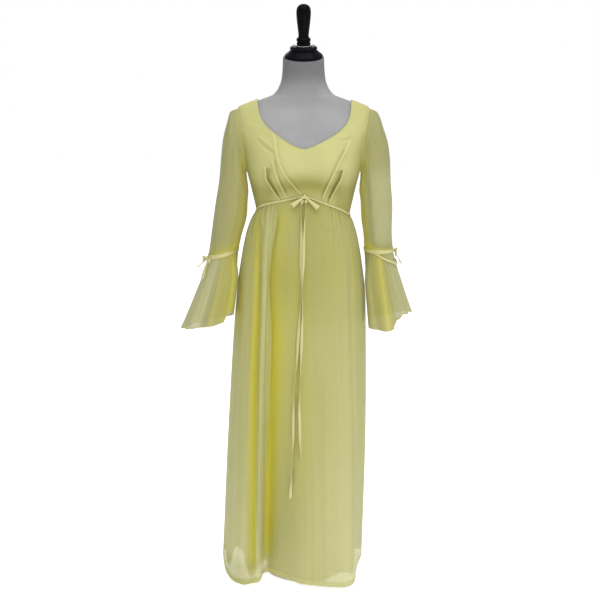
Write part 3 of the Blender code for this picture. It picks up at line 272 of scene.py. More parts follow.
# Sleeves: the outermost and the innermost point of each ring, and its half depth
Ring = namedtuple("Ring", "outer outer_z inner inner_z half_depth")
SLEEVES = {
    "left": rows_of(Ring, (
        (0.187, 1.393, 0.163, 1.215, 0.046), (0.208, 1.384, 0.1655, 1.206, 0.053),
        (0.217, 1.365, 0.1645, 1.195, 0.058), (0.2265, 1.33, 0.163, 1.18, 0.062),
        (0.2325, 1.288, 0.161, 1.16, 0.064), (0.24, 1.231, 0.16, 1.137, 0.064),
        (0.2465, 1.175, 0.162, 1.11, 0.063), (0.256, 1.112, 0.168, 1.075, 0.062),
        (0.268, 1.045, 0.179, 1.032, 0.061), (0.2785, 0.964, 0.1905, 0.987, 0.06),
    )),
    "right": rows_of(Ring, (
        (0.187, 1.393, 0.163, 1.215, 0.046), (0.207, 1.385, 0.1655, 1.206, 0.053),
        (0.2205, 1.367, 0.165, 1.195, 0.058), (0.2325, 1.33, 0.164, 1.18, 0.062),
        (0.243, 1.288, 0.163, 1.16, 0.064), (0.251, 1.231, 0.1635, 1.137, 0.064),
        (0.254, 1.175, 0.166, 1.11, 0.063), (0.2575, 1.112, 0.17, 1.075, 0.062),
        (0.259, 1.045, 0.1745, 1.032, 0.061), (0.2615, 0.985, 0.178, 0.987, 0.06),
    )),
}
CAP_PART = 0.30
SLEEVE_MIDDLE = 0.222
ELBOW_FOLDS = 3
ELBOW_FOLD = 0.0012
# Soft lengthwise folds in a sleeve: place round it, start and end along it
SleeveFold = namedtuple("SleeveFold", "turn start end width height")
SLEEVE_FOLDS = rows_of(SleeveFold, (
    (0.13, 0.1, 0.98, 0.03, 0.003), (0.21, 0.05, 0.7, 0.022, -0.0026), (0.3, 0.2, 1.0, 0.028, 0.0028),
    (0.38, 0.02, 0.55, 0.022, -0.003), (0.05, 0.3, 1.0, 0.02, -0.0018), (0.58, 0.1, 0.8, 0.03, 0.0026),
    (0.7, 0.05, 0.95, 0.026, -0.003), (0.82, 0.1, 0.9, 0.034, 0.0028),
))

# Bell flounces: the ring at the hem, and the hem's height round the wrist,
# from the outside through the front to the inside and the back
Flounce = namedtuple("Flounce", "outer inner half_depth middle_y lobe")
FLOUNCES = {
    "left": Flounce(0.3560, 0.2110, 0.088, -0.006, 0.019),
    "right": Flounce(0.3130, 0.1960, 0.080, -0.012, 0.014),
}
HemStep = namedtuple("HemStep", "turn height")
FLOUNCE_HEMS = {
    "left": rows_of(HemStep, (
        (0.0, 0.7515), (0.083, 0.76), (0.167, 0.7655), (0.25, 0.7735), (0.35, 0.7825), (0.368, 0.812),
        (0.417, 0.803), (0.5, 0.7905), (0.583, 0.78), (0.667, 0.768), (0.75, 0.756), (0.833, 0.75),
        (0.917, 0.749), (1.0, 0.7515),
    )),
    "right": rows_of(HemStep, (
        (0.0, 0.8017), (0.083, 0.8075), (0.16, 0.8083), (0.175, 0.797), (0.19, 0.792), (0.202, 0.79),
        (0.212, 0.78), (0.22, 0.779), (0.23, 0.767), (0.26, 0.7625), (0.311, 0.7595), (0.417, 0.764),
        (0.5, 0.774), (0.6, 0.774), (0.7, 0.776), (0.833, 0.788), (0.917, 0.797), (1.0, 0.8017),
    )),
}
FLOUNCE_WAVES = 7
FLOUNCE_WAVE = 0.008
FLOUNCE_INNER = (0.36, 0.64)

# Streamers: x at each height, hanging from the bow down the skirt front
Hang = namedtuple("Hang", "x height")
STREAMERS = {
    "left": rows_of(Hang, (
        (-0.0035, 1.1452), (-0.0078, 1.12), (-0.0062, 1.06), (-0.0074, 0.97), (-0.0068, 0.9),
        (-0.0125, 0.8), (-0.02, 0.68), (-0.029, 0.56), (-0.031, 0.45), (-0.0345, 0.36), (-0.0385, 0.272),
    )),
    "right": rows_of(Hang, (
        (0.0085, 1.1452), (0.0058, 1.12), (0.003, 1.06), (0.0, 0.97), (-0.0026, 0.9), (-0.003, 0.8),
        (-0.007, 0.68), (-0.011, 0.56), (-0.009, 0.47), (-0.0065, 0.398),
    )),
}

# Turned pieces: radius at each height, from the top down
Turn = namedtuple("Turn", "radius height")
CAP = rows_of(Turn, (
    (0.0, 0.033), (0.023, 0.033), (0.031, 0.0328), (0.0345, 0.032), (0.0372, 0.0304), (0.0388, 0.0282),
    (0.0391, 0.0262), (0.0384, 0.0246), (0.0375, 0.0234), (0.0377, 0.0222), (0.039, 0.0205),
    (0.0414, 0.0182), (0.0443, 0.0156), (0.0476, 0.0129), (0.0509, 0.0104), (0.0532, 0.0086),
    (0.0545, 0.0069), (0.055, 0.0048), (0.0549, 0.0028), (0.0541, 0.0013), (0.0528, 0.0006),
    (0.0, 0.0006),
))
WASHER = rows_of(Turn, (
    (0.0, 0.0362), (0.0205, 0.0362), (0.0228, 0.0361), (0.0235, 0.0356), (0.0237, 0.0348),
    (0.0235, 0.034), (0.023, 0.0334), (0.0, 0.0334),
))
HANDLE = rows_of(Turn, (
    (0.0, 0.15), (0.0038, 0.1498), (0.007, 0.1491), (0.0103, 0.1478), (0.0131, 0.1462), (0.0158, 0.1438),
    (0.018, 0.1405), (0.0195, 0.1367), (0.0203, 0.1326), (0.0207, 0.127), (0.0205, 0.1195),
    (0.0199, 0.111), (0.019, 0.102), (0.018, 0.093), (0.0169, 0.084), (0.0159, 0.075), (0.015, 0.067),
    (0.0146, 0.062), (0.0148, 0.059), (0.0158, 0.057), (0.0177, 0.0556), (0.0194, 0.054),
    (0.0203, 0.0518), (0.0204, 0.0496), (0.0198, 0.0474), (0.0188, 0.0456), (0.0184, 0.044),
    (0.0188, 0.0426), (0.0197, 0.0412), (0.0201, 0.0394), (0.0199, 0.0376), (0.0192, 0.0366),
    (0.0, 0.0366),
))
BASE = rows_of(Turn, (
    (0.0, 0.0135), (0.012, 0.0135), (0.03, 0.013), (0.056, 0.012), (0.08, 0.0106), (0.096, 0.0096),
    (0.106, 0.0087), (0.111, 0.0078), (0.1138, 0.0064), (0.1148, 0.0046), (0.115, 0.0012), (0.1146, 0.0),
    (0.0, 0.0),
))


# Smooth runs through the tables

def curve(places, values):
    """A smooth run through a table, with no overshoot (monotone cubic)."""
    places, values = list(places), list(values)
    rises = [(values[i + 1] - values[i]) / (places[i + 1] - places[i]) for i in range(len(places) - 1)]
    slopes = [rises[0]]
    for before, after in zip(rises, rises[1:]):
        slopes.append(2 * before * after / (before + after) if before * after > 0 else 0.0)
    slopes.append(rises[-1])

    def at(place):
        if place <= places[0]:
            return values[0]
        if place >= places[-1]:
            return values[-1]
        k = bisect.bisect_right(places, place) - 1
        width = places[k + 1] - places[k]
        t = (place - places[k]) / width
        t2, t3 = t * t, t * t * t
        return ((2 * t3 - 3 * t2 + 1) * values[k] + (t3 - 2 * t2 + t) * width * slopes[k]
                + (3 * t2 - 2 * t3) * values[k + 1] + (t3 - t2) * width * slopes[k + 1])
    return at


def curves(rows, key):
    """A smooth run for each measure of a table."""
    places = [getattr(row, key) for row in rows]
    return {name: curve(places, [getattr(row, name) for row in rows])
            for name in rows[0]._fields if name != key}


def ease(t):
    t = min(1.0, max(0.0, t))
    return t * t * (3 - 2 * t)


def ramp(value, start, over):
    """0 up to start, rising to 1 over a length; a negative length rises downwards."""
    return ease((value - start) / over)


def bell(value, centre, spread):
    return math.exp(-((value - centre) / spread) ** 2)


def arc_power(value):
    """The superellipse's step on one axis, from a sine or cosine."""
    return math.copysign(abs(value) ** (2 / ROUND), value)


def uneven(x, y, z):
    """Gentle unevenness from -1 to 1 at a place given in periods."""
    return noise.noise(Vector((x, y, z)))


torso = curves(TORSO, "height")
half_width = torso["half_width"]
seam_height = curves(EMPIRE_SEAM, "across")["height"]
front_folds = curves(FRONT_FOLDS, "turn")
lining_folds = curves(LINING_FOLDS, "turn")
turn_of_seam = curve([fold.seam for fold in FRONT_FOLDS], [fold.turn for fold in FRONT_FOLDS])
lining_hem = curves(LINING_HEMS, "turn")["rise"]
back_levels = curves(SKIRT_BACK, "height")


def uneven_round(angle, often, z):
    """The same noise round a ring."""
    return uneven(math.cos(angle) * often, math.sin(angle) * often, z)


def wrinkle(kind, x, z):
    return kind.height * uneven(x * kind.across, z * kind.along, kind.seed)


def off_ends(t, start, end):
    """1 in the middle, falling to 0 at both ends over two lengths."""
    return ease(t / start) * ramp(t, 1, -end)


# Torso surface

def bust(x, z):
    """The cups: two soft mounds on a general figure."""
    up = (z - BUST) / (0.050 if z > BUST else 0.060)
    if abs(up) > 4:
        return 0.0
    rise = 0.0
    for side in (-1, 1):
        across = (x - side * 0.076) / 0.052
        rise += 0.020 * math.exp(-across * across - up * up)
    return rise


def torso_point(angle, z, facing, clear=0.0):
    """A point of the torso: angle from its middle line, facing -1 front or 1 back."""
    depth = torso["front" if facing < 0 else "back"](z)
    x = (half_width(z) - clear) * arc_power(math.sin(angle))
    y = facing * (depth - clear) * arc_power(math.cos(angle))
    if facing < 0:
        y -= bust(x, z)
    return Vector((x, y, z))


def angle_of(x, z):
    part = min(1.0, abs(x) / half_width(z))
    return math.copysign(math.asin(part ** (ROUND / 2)), x)


def seam_height_back(turn, side):
    """Empire seam on the back: turn 0 at the side seam, 1 at the centre back."""
    start = EMPIRE_SEAM[0 if side < 0 else -1].height
    return start + (SEAM_BACK - start) * ease(turn)


def shoulder_height(x):
    """Height of the shoulder line, where the torso is as wide as x."""
    low, high = SHOULDER_END - 0.004, TORSO[-1].height
    for _ in range(26):
        middle = (low + high) / 2
        if half_width(middle) > abs(x):
            low = middle
        else:
            high = middle
    return low


def armhole_x(z):
    part = min(1.0, max(0.0, (z - ARMPIT) / (SHOULDER_END - ARMPIT)))
    start, end = half_width(ARMPIT), half_width(SHOULDER_END)
    return start + (end - start) * part - ARMHOLE_BOW * math.sin(math.pi * part)


def armhole_height(turn):
    return ARMPIT + (SHOULDER_END - ARMPIT) * (1 - math.cos(math.pi * turn)) / 2


def side_edge(v, side, facing):
    """Side seam, then armhole: v 0 at the empire seam, 1 at the shoulder's end."""
    start = seam_height(side) if facing < 0 else seam_height_back(0.0, side)
    if v < ARMHOLE_START:
        z = start + (ARMPIT - start) * v / ARMHOLE_START
        return side * half_width(z), z
    z = armhole_height((v - ARMHOLE_START) / (1 - ARMHOLE_START))
    return side * armhole_x(z), z


def between_edges(u, v, foot, top, left, right):
    """A point between four edges, given as their points at u or at v and at the corners."""
    result = []
    for k in range(2):
        ruled = (1 - v) * foot[0][k] + v * top[0][k]
        left_bend = left[k] - (1 - v) * foot[1][k] - v * top[1][k]
        right_bend = right[k] - (1 - v) * foot[2][k] - v * top[2][k]
        result.append(ruled + left_bend * (1 - u) ** SIDE_HOLD + right_bend * u ** SIDE_HOLD)
    return result


# Relief of the front: folds given by their lines as seen from the front

def line_runs(folds):
    """Each fold with its line, x by height, read upwards."""
    return [(fold, curve(fold.heights[::-1], fold.xs[::-1])) for fold in folds]


pleat_lines = line_runs(PLEATS)
crease_lines = line_runs(SKIRT_CREASES)


def pocket_width(pleat, z):
    """A pleat's pocket is widest just under its top and narrows to the seam."""
    top, foot = pleat.heights[0], pleat.heights[-1]
    return pleat.hollow * (0.25 + 0.75 * ease((z - foot) / (top - foot)))


def pleat_relief(x, z):
    """Knife pleats: a gentle slope on the outer side and a step to a pocket on the inner."""
    rise = 0.0
    for pleat, line in pleat_lines:
        top, foot = pleat.heights[0], pleat.heights[-1]
        if not foot - PLEAT_FOOT < z < top + 0.001:
            continue
        away = (x - line(z)) * pleat.side
        if not -0.04 < away < 0.04:
            continue
        share = ease((top - z) / pleat.fade)
        if away >= 0:
            part = 1 - ease(away / pleat.gentle)
        elif away > -PLEAT_STEP:
            part = 1 - (1 + pleat.pocket) * ease(-away / PLEAT_STEP)
        else:
            part = -pleat.pocket * (1 - ease((-away - PLEAT_STEP) / pocket_width(pleat, z)))
        rise += pleat.height * share * part
    return rise


def pleat_shade(x, z):
    """How dark the pockets look: a sharp line at the step, soft across the pocket."""
    shade = 0.0
    for pleat, line in pleat_lines:
        top, foot = pleat.heights[0], pleat.heights[-1]
        away = (x - line(z)) * pleat.side
        if foot - 0.004 < z < top and -0.04 < away < 0.0012:
            width = pocket_width(pleat, z)
            soft = 1 - ease((-away - 0.3 * width) / (0.8 * width))
            sharp = bell(away, -0.0016, 0.0016) * ease((top - 0.012 - z) / 0.03)
            share = ease((top - z) / max(0.004, pleat.fade * 0.8)) * ease((away - 0.0012) / -0.0016)
            shade = max(shade, share * min(1.0, pleat.pocket * 1.15 * (0.62 * soft + 0.45 * sharp)))
    return shade


def drag_relief(folds, x, z):
    """Soft folds and creases along straight lines, fading at both ends."""
    rise = 0.0
    for fold in folds:
        run_x, run_z = fold.x1 - fold.x0, fold.z1 - fold.z0
        length = math.hypot(run_x, run_z)
        along = ((x - fold.x0) * run_x + (z - fold.z0) * run_z) / (length * length)
        if not 0 < along < 1:
            continue
        across = ((x - fold.x0) * run_z - (z - fold.z0) * run_x) / length / fold.width
        if abs(across) < 3:
            rise += fold.height * ease(along / 0.3) * ramp(along, 1, -0.3) * math.exp(-across * across)
    return rise


def crease_relief(x, z):
    fall = 0.0
    for crease, line in crease_lines:
        top, foot = crease.heights[0], crease.heights[-1]
        across = (x - line(z)) / crease.width
        if foot < z < top and abs(across) < 3:
            share = ease((top - z) / crease.fade) * ease((z - foot) / crease.fade)
            fall += crease.depth * share * math.exp(-across * across)
    return fall


def pleat_light(x, z):
    """The folded edge of a pleat catches the light along its crest."""
    light = 0.0
    for pleat, line in pleat_lines:
        top, foot = pleat.heights[0], pleat.heights[-1]
        if foot < z < top + 0.001:
            away = (x - line(z)) * pleat.side
            light = max(light, ease((top + 0.002 - z) / 0.012) * bell(away, 0.0010, 0.0019))
    return light


def bodice_relief(x, z):
    """How far the bodice front stands out, or in, from the plain torso."""
    seam = z - seam_height(max(-1.0, min(1.0, x / half_width(z))))
    rise = pleat_relief(x, z) + drag_relief(BODICE_DRAGS, x, z)
    middle = bell(x, NECK_POINT_X, 0.0016)
    rise -= 0.0004 * middle
    rise += sum(wrinkle(kind, x, z) for kind in BODICE_WRINKLES)
    return rise * (0.06 + 0.94 * ease((seam - 0.006) / PLEAT_FOOT))


# Bodice

neck_steps = list(range(len(NECKLINE)))
neck_x = curve(neck_steps, [point.x for point in NECKLINE])
neck_z = curve(neck_steps, [point.height for point in NECKLINE])


def neck_edge(t):
    """Top edge of the front: left shoulder seam, neckline, right shoulder seam."""
    left, right = NECKLINE[0], NECKLINE[-1]
    end = half_width(SHOULDER_END)
    if t < SHOULDER_PART:
        x = -end + (end + left.x) * t / SHOULDER_PART
        return x, shoulder_height(x)
    if t > 1 - SHOULDER_PART:
        x = end + (right.x - end) * (1 - t) / SHOULDER_PART
        return x, shoulder_height(x)
    run = (t - SHOULDER_PART) / (1 - 2 * SHOULDER_PART) * (len(NECKLINE) - 1)
    x = neck_x(run)
    return x, min(neck_z(run), shoulder_height(x))


def bodice_foot(t):
    across = arc_power(math.sin((t - 0.5) * math.pi))
    return across * half_width(seam_height(across)), seam_height(across)


def bodice_front_column(u):
    foot = (bodice_foot(u), bodice_foot(0), bodice_foot(1))
    top = (neck_edge(u), neck_edge(0), neck_edge(1))
    hold = off_ends(u, 0.05, 0.05)

    def place(v):
        x, z = between_edges(u, v, foot, top, side_edge(v, -1, -1), side_edge(v, 1, -1))
        point = torso_point(angle_of(x, z), z, -1)
        point.y -= bodice_relief(point.x, z) * hold * ramp(v, 1, -0.03)
        return point
    return place


def back_neck(t, side):
    """Top edge of a back: 0 at the armhole, shoulder seam, neckline, 1 at centre back."""
    point = NECKLINE[0] if side < 0 else NECKLINE[-1]
    end = half_width(SHOULDER_END)
    if t < SHOULDER_PART_BACK:
        x = side * (end + (abs(point.x) - end) * t / SHOULDER_PART_BACK)
        return x, shoulder_height(x)
    turn = (t - SHOULDER_PART_BACK) / (1 - SHOULDER_PART_BACK) * math.pi / 2
    top = shoulder_height(point.x)
    return point.x * math.cos(turn), top - NECK_BACK_DROP * math.sin(turn) ** 0.8


def bodice_back_column(u, side):
    """u 0 at the side seam, 1 at the centre back."""
    def foot(t):
        z = seam_height_back(t, side)
        return side * half_width(z) * arc_power(math.cos(t * math.pi / 2)), z

    feet = (foot(u), foot(0), foot(1))
    tops = (back_neck(u, side), back_neck(0, side), back_neck(1, side))
    hold = off_ends(u, 0.08, 0.12)

    def place(v):
        middle = (0.0, SEAM_BACK + (tops[2][1] - SEAM_BACK) * v)
        x, z = between_edges(u, v, feet, tops, side_edge(v, side, 1), middle)
        point = torso_point(angle_of(x, z), z, 1)
        point.y += hold * (wrinkle(BACK_WRINKLE, x, z) + abs(wrinkle(BACK_SLACK, x, z)))
        return open_at_zip(point, u, side)
    return place


def open_at_zip(point, u, side):
    """Slide the last stretch of a back panel off the centre line, clear of the zip."""
    near = ramp(u, 0.75, 0.25)
    wide = ZIP_HALF + ZIP_GAP if point.z > ZIP_END - 0.008 else SEAM_HALF
    point.x += side * wide * near
    return point


# Skirt

def level_curve(seam, hip, knee, hem):
    """One measure of the skirt by height, from its values at four levels."""
    return curve((HEM, KNEE, HIP, 0.955, 1.03, 1.075, SEAM_SIDE),
                 (hem, knee, hip, hip + (seam - hip) * 0.24, hip + (seam - hip) * 0.50,
                  hip + (seam - hip) * 0.76, seam))


def gather_share(u):
    """How strongly the top edge is gathered, round the front."""
    share = 0.12
    for g in FRONT_GATHERS:
        share = max(share, ease((u - g.start) / 0.04) * ease((g.end - u) / 0.04))
    return share * off_ends(u, 0.02, 0.02)


def gather_relief(run, drop, share, seed):
    """Fine uneven gathers: held flat under the ribbon, each fading at its own depth."""
    drift = uneven(run * 42, seed, 0.0)
    wave = math.cos(math.tau * (run / GATHER_PITCH + 0.8 * drift))
    strong = 0.75 + 0.7 * uneven(run * 75, seed, 5.0)
    reach = GATHER_FADE * (0.9 + 1.3 * uneven(run * 55, seed, 9.0))
    held = 0.2 + 0.8 * ease(drop / 0.016)
    fine = 0.35 * math.cos(math.tau * (run / GATHER_PITCH * 2.3 + 1.1 * drift))
    out = 0.55 + wave + fine * math.exp(-max(0.0, drop) / 0.03)
    return GATHER_DEEP * share * strong * held * out * math.exp(-max(0.0, drop) / max(0.02, reach))


def skirt_front_column(u, hem=HEM, folds=front_folds, inside=0.0, fine=True):
    """u 0 at the left side seam, 1 at the right one; v 0 at the empire seam, 1 at the hem."""
    seam_angle = math.radians(folds["seam"](u))
    across = arc_power(math.sin(seam_angle))
    top = torso_point(seam_angle, seam_height(across), -1, inside)
    x_at = level_curve(top.x, folds["hip_x"](u), folds["knee_x"](u), folds["hem_x"](u))
    y_at = level_curve(top.y, folds["hip_y"](u), folds["knee_y"](u), folds["hem_y"](u))
    share = gather_share(u)
    hold = off_ends(u, 0.03, 0.03)
    aside, ahead = math.sin(seam_angle), math.cos(seam_angle)

    def place(v):
        z = top.z + (hem - top.z) * v
        guide = z + (SEAM_SIDE - top.z) * (1 - v) ** 2
        x, y = x_at(guide), y_at(guide)
        if fine:
            low = ease((top.z - z - 0.02) / 0.06)
            out = gather_relief(u * SEAM_LENGTH, top.z - z, share, 3.0)
            out += hold * low * (drag_relief(SKIRT_DRAGS, x, z) - crease_relief(x, z))
            out += hold * low * sum(wrinkle(kind, x, z) for kind in SKIRT_WRINKLES)
            x, y = x + out * aside, y - out * ahead
        return Vector((x, y, z))
    return place


def skirt_back_column(u, side, hem=HEM, folds=FRONT_FOLDS, inside=0.0, fine=True):
    """u 0 at the side seam, 1 at the centre back."""
    edge = folds[0 if side < 0 else -1]
    start = side * (half_width(seam_height_back(0, side)) - inside)
    top = seam_height_back(u, side)
    side_x = level_curve(start, edge.hip_x, edge.knee_x, edge.hem_x)
    side_y = level_curve(0.0, edge.hip_y, edge.knee_y, edge.hem_y)
    turn = u * math.pi / 2
    ends = off_ends(u, 0.4, 0.2)
    ripple = ends * math.cos(math.tau * BACK_RIPPLES * (1 - u))
    share = off_ends(u, 0.06, 0.08)
    across, behind = arc_power(math.cos(turn)), arc_power(math.sin(turn))

    def place(v):
        z = top + (hem - top) * v
        guide = z + (SEAM_SIDE - top) * (1 - v) ** 2
        out = back_levels["ripple"](guide) * ripple
        if fine:
            out += gather_relief(u * BACK_LENGTH, top - z, share, 11.0 + side)
            out += share * ease((top - z) / 0.08) * 0.0018 * uneven(u * 9, z * 3, 6.0 + side)
        depth = back_levels["depth"](guide) - inside
        y = side_y(guide)
        x = side_x(guide) * across + side * out * math.cos(turn)
        return Vector((x, y + (depth - y) * behind + out * math.sin(turn), z))
    return place


def zipped_skirt_column(u, side):
    plain = skirt_back_column(u, side)
    return lambda v: open_at_zip(plain(v), u, side)


def lining_column(u):
    """The lining, one turn from the centre back. Its hem is shorter, and uneven."""
    u %= 1.0
    front = 0.25 <= u <= 0.75
    turn = (u - 0.25) * 2
    hem = HEM + (lining_hem(turn) if front else LINING_HEM_BACK)
    runs = []
    for inside in (LINING_TOP_INSIDE, LINING_INSIDE):
        if front:
            runs.append(skirt_front_column(turn, hem, lining_folds, inside, False))
        else:
            side, part = (-1, 1 - u * 4) if u < 0.25 else (1, (u - 0.75) * 4)
            runs.append(skirt_back_column(part, side, hem, LINING_FOLDS, inside, False))
    return lambda v: runs[0](v).lerp(runs[1](v), ease(v / LINING_TOP))


# Sleeves and flounces

sleeve_rings = {}
for sleeve_side, rings in SLEEVES.items():
    ring_steps = [i / (len(rings) - 1) for i in range(len(rings))]
    sleeve_rings[sleeve_side] = [curve(ring_steps, [getattr(ring, name) for ring in rings])
                                 for name in Ring._fields]


def ring_at(side, s):
    return Ring(*(run(s) for run in sleeve_rings[side]))


def ring_point(ring, turn, sign, middle_y=0.0):
    """turn 0 at the outside, 0.25 at the front, 0.5 at the inside, 0.75 at the back."""
    angle = math.tau * turn
    lean = (1 + math.cos(angle)) / 2
    x = ring.inner + (ring.outer - ring.inner) * lean
    z = ring.inner_z + (ring.outer_z - ring.inner_z) * lean
    return Vector((sign * x, middle_y - ring.half_depth * math.sin(angle), z))


def armhole_point(turn, sign):
    angle = math.tau * turn
    z = ARMPIT + (SHOULDER_END - ARMPIT) * (1 + math.cos(angle)) / 2
    facing = -1 if math.sin(angle) >= 0 else 1
    return torso_point(sign * abs(angle_of(armhole_x(z), z)), z, facing)


def sleeve_relief(u, s):
    rise = 0.0
    for fold in SLEEVE_FOLDS:
        away = abs(u - fold.turn)
        away = min(away, 1 - away) / fold.width
        if away < 3 and fold.start < s < fold.end:
            ends = ease((s - fold.start) / 0.15) * ease((fold.end - s) / 0.15)
            rise += fold.height * ends * math.exp(-away * away)
    return rise + SLEEVE_WRINKLE * uneven_round(math.tau * u, 2.4, s * 5)


def sleeve(u, s, side):
    sign = SIDES[side]
    point = ring_point(ring_at(side, s), u, sign)
    if s < CAP_PART:
        first = ring_point(ring_at(side, 0.0), u, sign)
        point += (armhole_point(u, sign) - first) * (1 - s / CAP_PART) ** 2
    turn = math.tau * u
    soft = ELBOW_FOLD * math.sin(math.tau * ELBOW_FOLDS * s) * math.cos(turn)
    point.x += sign * soft * off_ends(s, 0.4, 0.1)
    out = sleeve_relief(u, s) * off_ends(s, 0.10, 0.05)
    point.x += sign * out * math.cos(turn)
    point.y -= out * math.sin(turn)
    return point


flounce_hems = {side: curves(steps, "turn")["height"] for side, steps in FLOUNCE_HEMS.items()}


def flounce_column(u, side):
    sign = SIDES[side]
    shape = FLOUNCES[side]
    hem_z = flounce_hems[side](u)
    start = ring_point(ring_at(side, 1.0), u, sign)
    end = ring_point(Ring(shape.outer, 0, shape.inner, 0, shape.half_depth), u, sign, shape.middle_y)
    angle = math.tau * u
    wave = FLOUNCE_WAVE * math.cos(FLOUNCE_WAVES * angle + 0.6)
    wave += FLOUNCE_WAVE_CHANGE * uneven_round(angle, 3, 3.0)
    if FLOUNCE_INNER[0] <= u <= FLOUNCE_INNER[1]:
        wave *= 0.35

    def place(s):
        point = start.lerp(end, s ** 1.15)
        point.z = start.z + (hem_z - start.z) * s
        point.x -= sign * shape.lobe * ease(s / 0.45) * bell(u, 0.385, 0.07)
        out = wave * s + FLOUNCE_WRINKLE * ease(s / 0.2) * uneven_round(angle, 7, s * 3)
        point.x += sign * out * math.cos(angle)
        point.y -= out * math.sin(angle)
        return point
    return place


# Painted light and shade on the cloth: a painted glow, the saturated colour of light passing
# through and bouncing in the folds, with painted shade there; painted light where the cloth
# is lit; and painted shade, with some random tone. Each function gives the glow, negative
# for painted light, and the shade

# A patch has an amount and rises across and up from a start, over a length that is
# negative where it falls; a length of 0 means everywhere. A spot fades on all sides
Patch = namedtuple("Patch", "amount x x_over z z_over")
Spot = namedtuple("Spot", "dye shade x x_spread z z_spread")

# Bodice: painted shade below the bust, at the sides, on the straps and on the flanks
BODICE_PATCHES = rows_of(Patch, (
    (0.22, 0.0, 0.0, 1.2, -0.04), (0.4, 0.115, 0.05, 1.34, -0.08), (0.1, 0.0, 0.0, 1.335, 0.05),
    (0.5, 0.07, 0.035, 1.235, -0.07),
))
UNDER_BUST_Z = 1.187
UNDER_BUST_SPAN = 0.085
UNDER_BUST_BOW = 0.012
UNDER_BUST_SPREAD = 0.024
UNDER_BUST_PAINTED_SHADE = 0.85
POCKET_PAINTED_SHADE = 0.85
CREST_PAINTED_HIGHLIGHT = 0.55
ARMHOLE_SHADE = 0.34
ARMHOLE_SPREAD = 0.012

# Skirt: valleys round the front, by their place round the seam and their top, painted with
# the glow and shade of the folds, and with painted light where their strength is negative
Valley = namedtuple("Valley", "turn spread strong top")
SKIRT_VALLEYS = rows_of(Valley, (
    (0.965, 0.022, 0.45, 1.1), (0.995, 0.016, -0.8, 0.97), (0.01, 0.045, 0.9, 1.06),
    (0.865, 0.01, 0.3, 1.04), (0.18, 0.012, 0.25, 0.95), (0.9, 0.008, 0.3, 0.95),
    (0.8, 0.012, 0.18, 0.9),
))
VALLEY_FADE = 0.12
CreasePaintedShade = namedtuple("CreasePaintedShade", "side spread strong shade_high shade_low")
CREASE_PAINTED_SHADES = rows_of(CreasePaintedShade, ((-1, 0.021, 0.85, 0.5, 0.3), (1, 0.03, 0.85, 0.35, 0.0)))
CREASE_EDGE = 0.0015
CREASE_FOOT = 0.045
# Painted light to the right, low down and at the left; painted shade in the middle and at the left's foot
SKIRT_PAINTED_LIGHT = rows_of(Patch, (
    (0.42, 0.02, 0.13, 1.0, -0.5), (0.5, 0.0, 0.0, 0.5, -0.4), (0.34, -0.145, -0.02, 0.95, -0.15),
))
SKIRT_SHADES = rows_of(Patch, (
    (0.28, -0.13, -0.02, 0.1, -0.03), (0.14, 0.0, 0.0, HEM + SKIRT_HEM_BAND + 0.003, -0.004),
))
SKIRT_SPOTS = rows_of(Spot, (
    (0.0, 0.22, -0.058, 0.028, 0.92, 0.09), (1.0, 0.4, -0.186, 0.013, 0.865, 0.1),
))
SIDE_SHADE = 0.80
CENTRE_SHADE = 0.30
LEFT_PAINTED_GLOW = 0.24
STRIP_PAINTED_HIGHLIGHT = 0.95
STRIP_SPREAD = 0.012
STREAK_DYE = 0.24
GATHER_SHADE = 0.42
RIBBON_SHADE = 0.30
GATHER_REACH = 0.16

# Back panels: a deeper tone and random streaks, painted light low down, and painted glow,
# shade and light at the side seam, by side
BACK_DYE = 0.16
BACK_STREAK = 0.42
BACK_PAINTED_LIGHT = 0.45
BACK_SEAM_PAINTED_SHADING = {-1: 0.95, 1: -0.60}
BACK_SEAM_SHADE = {-1: 0.30, 1: 0.0}

# Sleeves: painted shade on the inside, at the end and low down, and painted light on the front of the right
# sleeve
SLEEVE_INSIDE_PAINTED_SHADE = 0.85
SLEEVE_END_PAINTED_SHADE = 0.55
SLEEVE_LOW_PAINTED_SHADE = 0.15
SLEEVE_PAINTED_LIGHT = Patch(0.4, 0.1, 0.1, 1.26, -0.08)

# Flounces: where each has a painted glow and shade, round it, and its creases with painted shade
DeepPart = namedtuple("DeepPart", "turn spread strong")
FLOUNCE_DEEP = {
    "left": rows_of(DeepPart, ((0.285, 0.06, 0.72), (0.41, 0.085, 1.2))),
    "right": rows_of(DeepPart, ((0.275, 0.1, 1.02), (0.5, 0.04, 0.9), (0.4, 0.04, 0.4))),
}
FLOUNCE_CREASE = {"left": 0.347, "right": 0.215}
FLOUNCE_DYE = -0.60
FLOUNCE_SHADE = 0.28


def patches_at(patches, x, z):
    total = 0.0
    for patch in patches:
        across = ramp(x, patch.x, patch.x_over) if patch.x_over else 1.0
        total += patch.amount * across * ramp(z, patch.z, patch.z_over)
    return total


# Painted shade under the bust, on the patches, in pleat pockets and at armholes; painted crest highlights
def bodice_painted_shading(u, point):
    x, z = point.x, point.z
    across = (x - NECK_POINT_X) / UNDER_BUST_SPAN
    under = bell(z, UNDER_BUST_Z - UNDER_BUST_BOW * across * across, UNDER_BUST_SPREAD)
    under *= math.exp(-(across ** 4))
    deep = POCKET_PAINTED_SHADE * pleat_shade(x, z) + UNDER_BUST_PAINTED_SHADE * under
    deep = min(1.0, deep + patches_at(BODICE_PATCHES, abs(x), z))
    edge = ARMHOLE_SHADE * bell(abs(x), armhole_x(z), ARMHOLE_SPREAD)
    edge *= ramp(z, 1.19, 0.03) * ramp(z, 1.345, -0.03)
    return deep - (CREST_PAINTED_HIGHLIGHT + 0.8 * deep) * pleat_light(x, z), edge


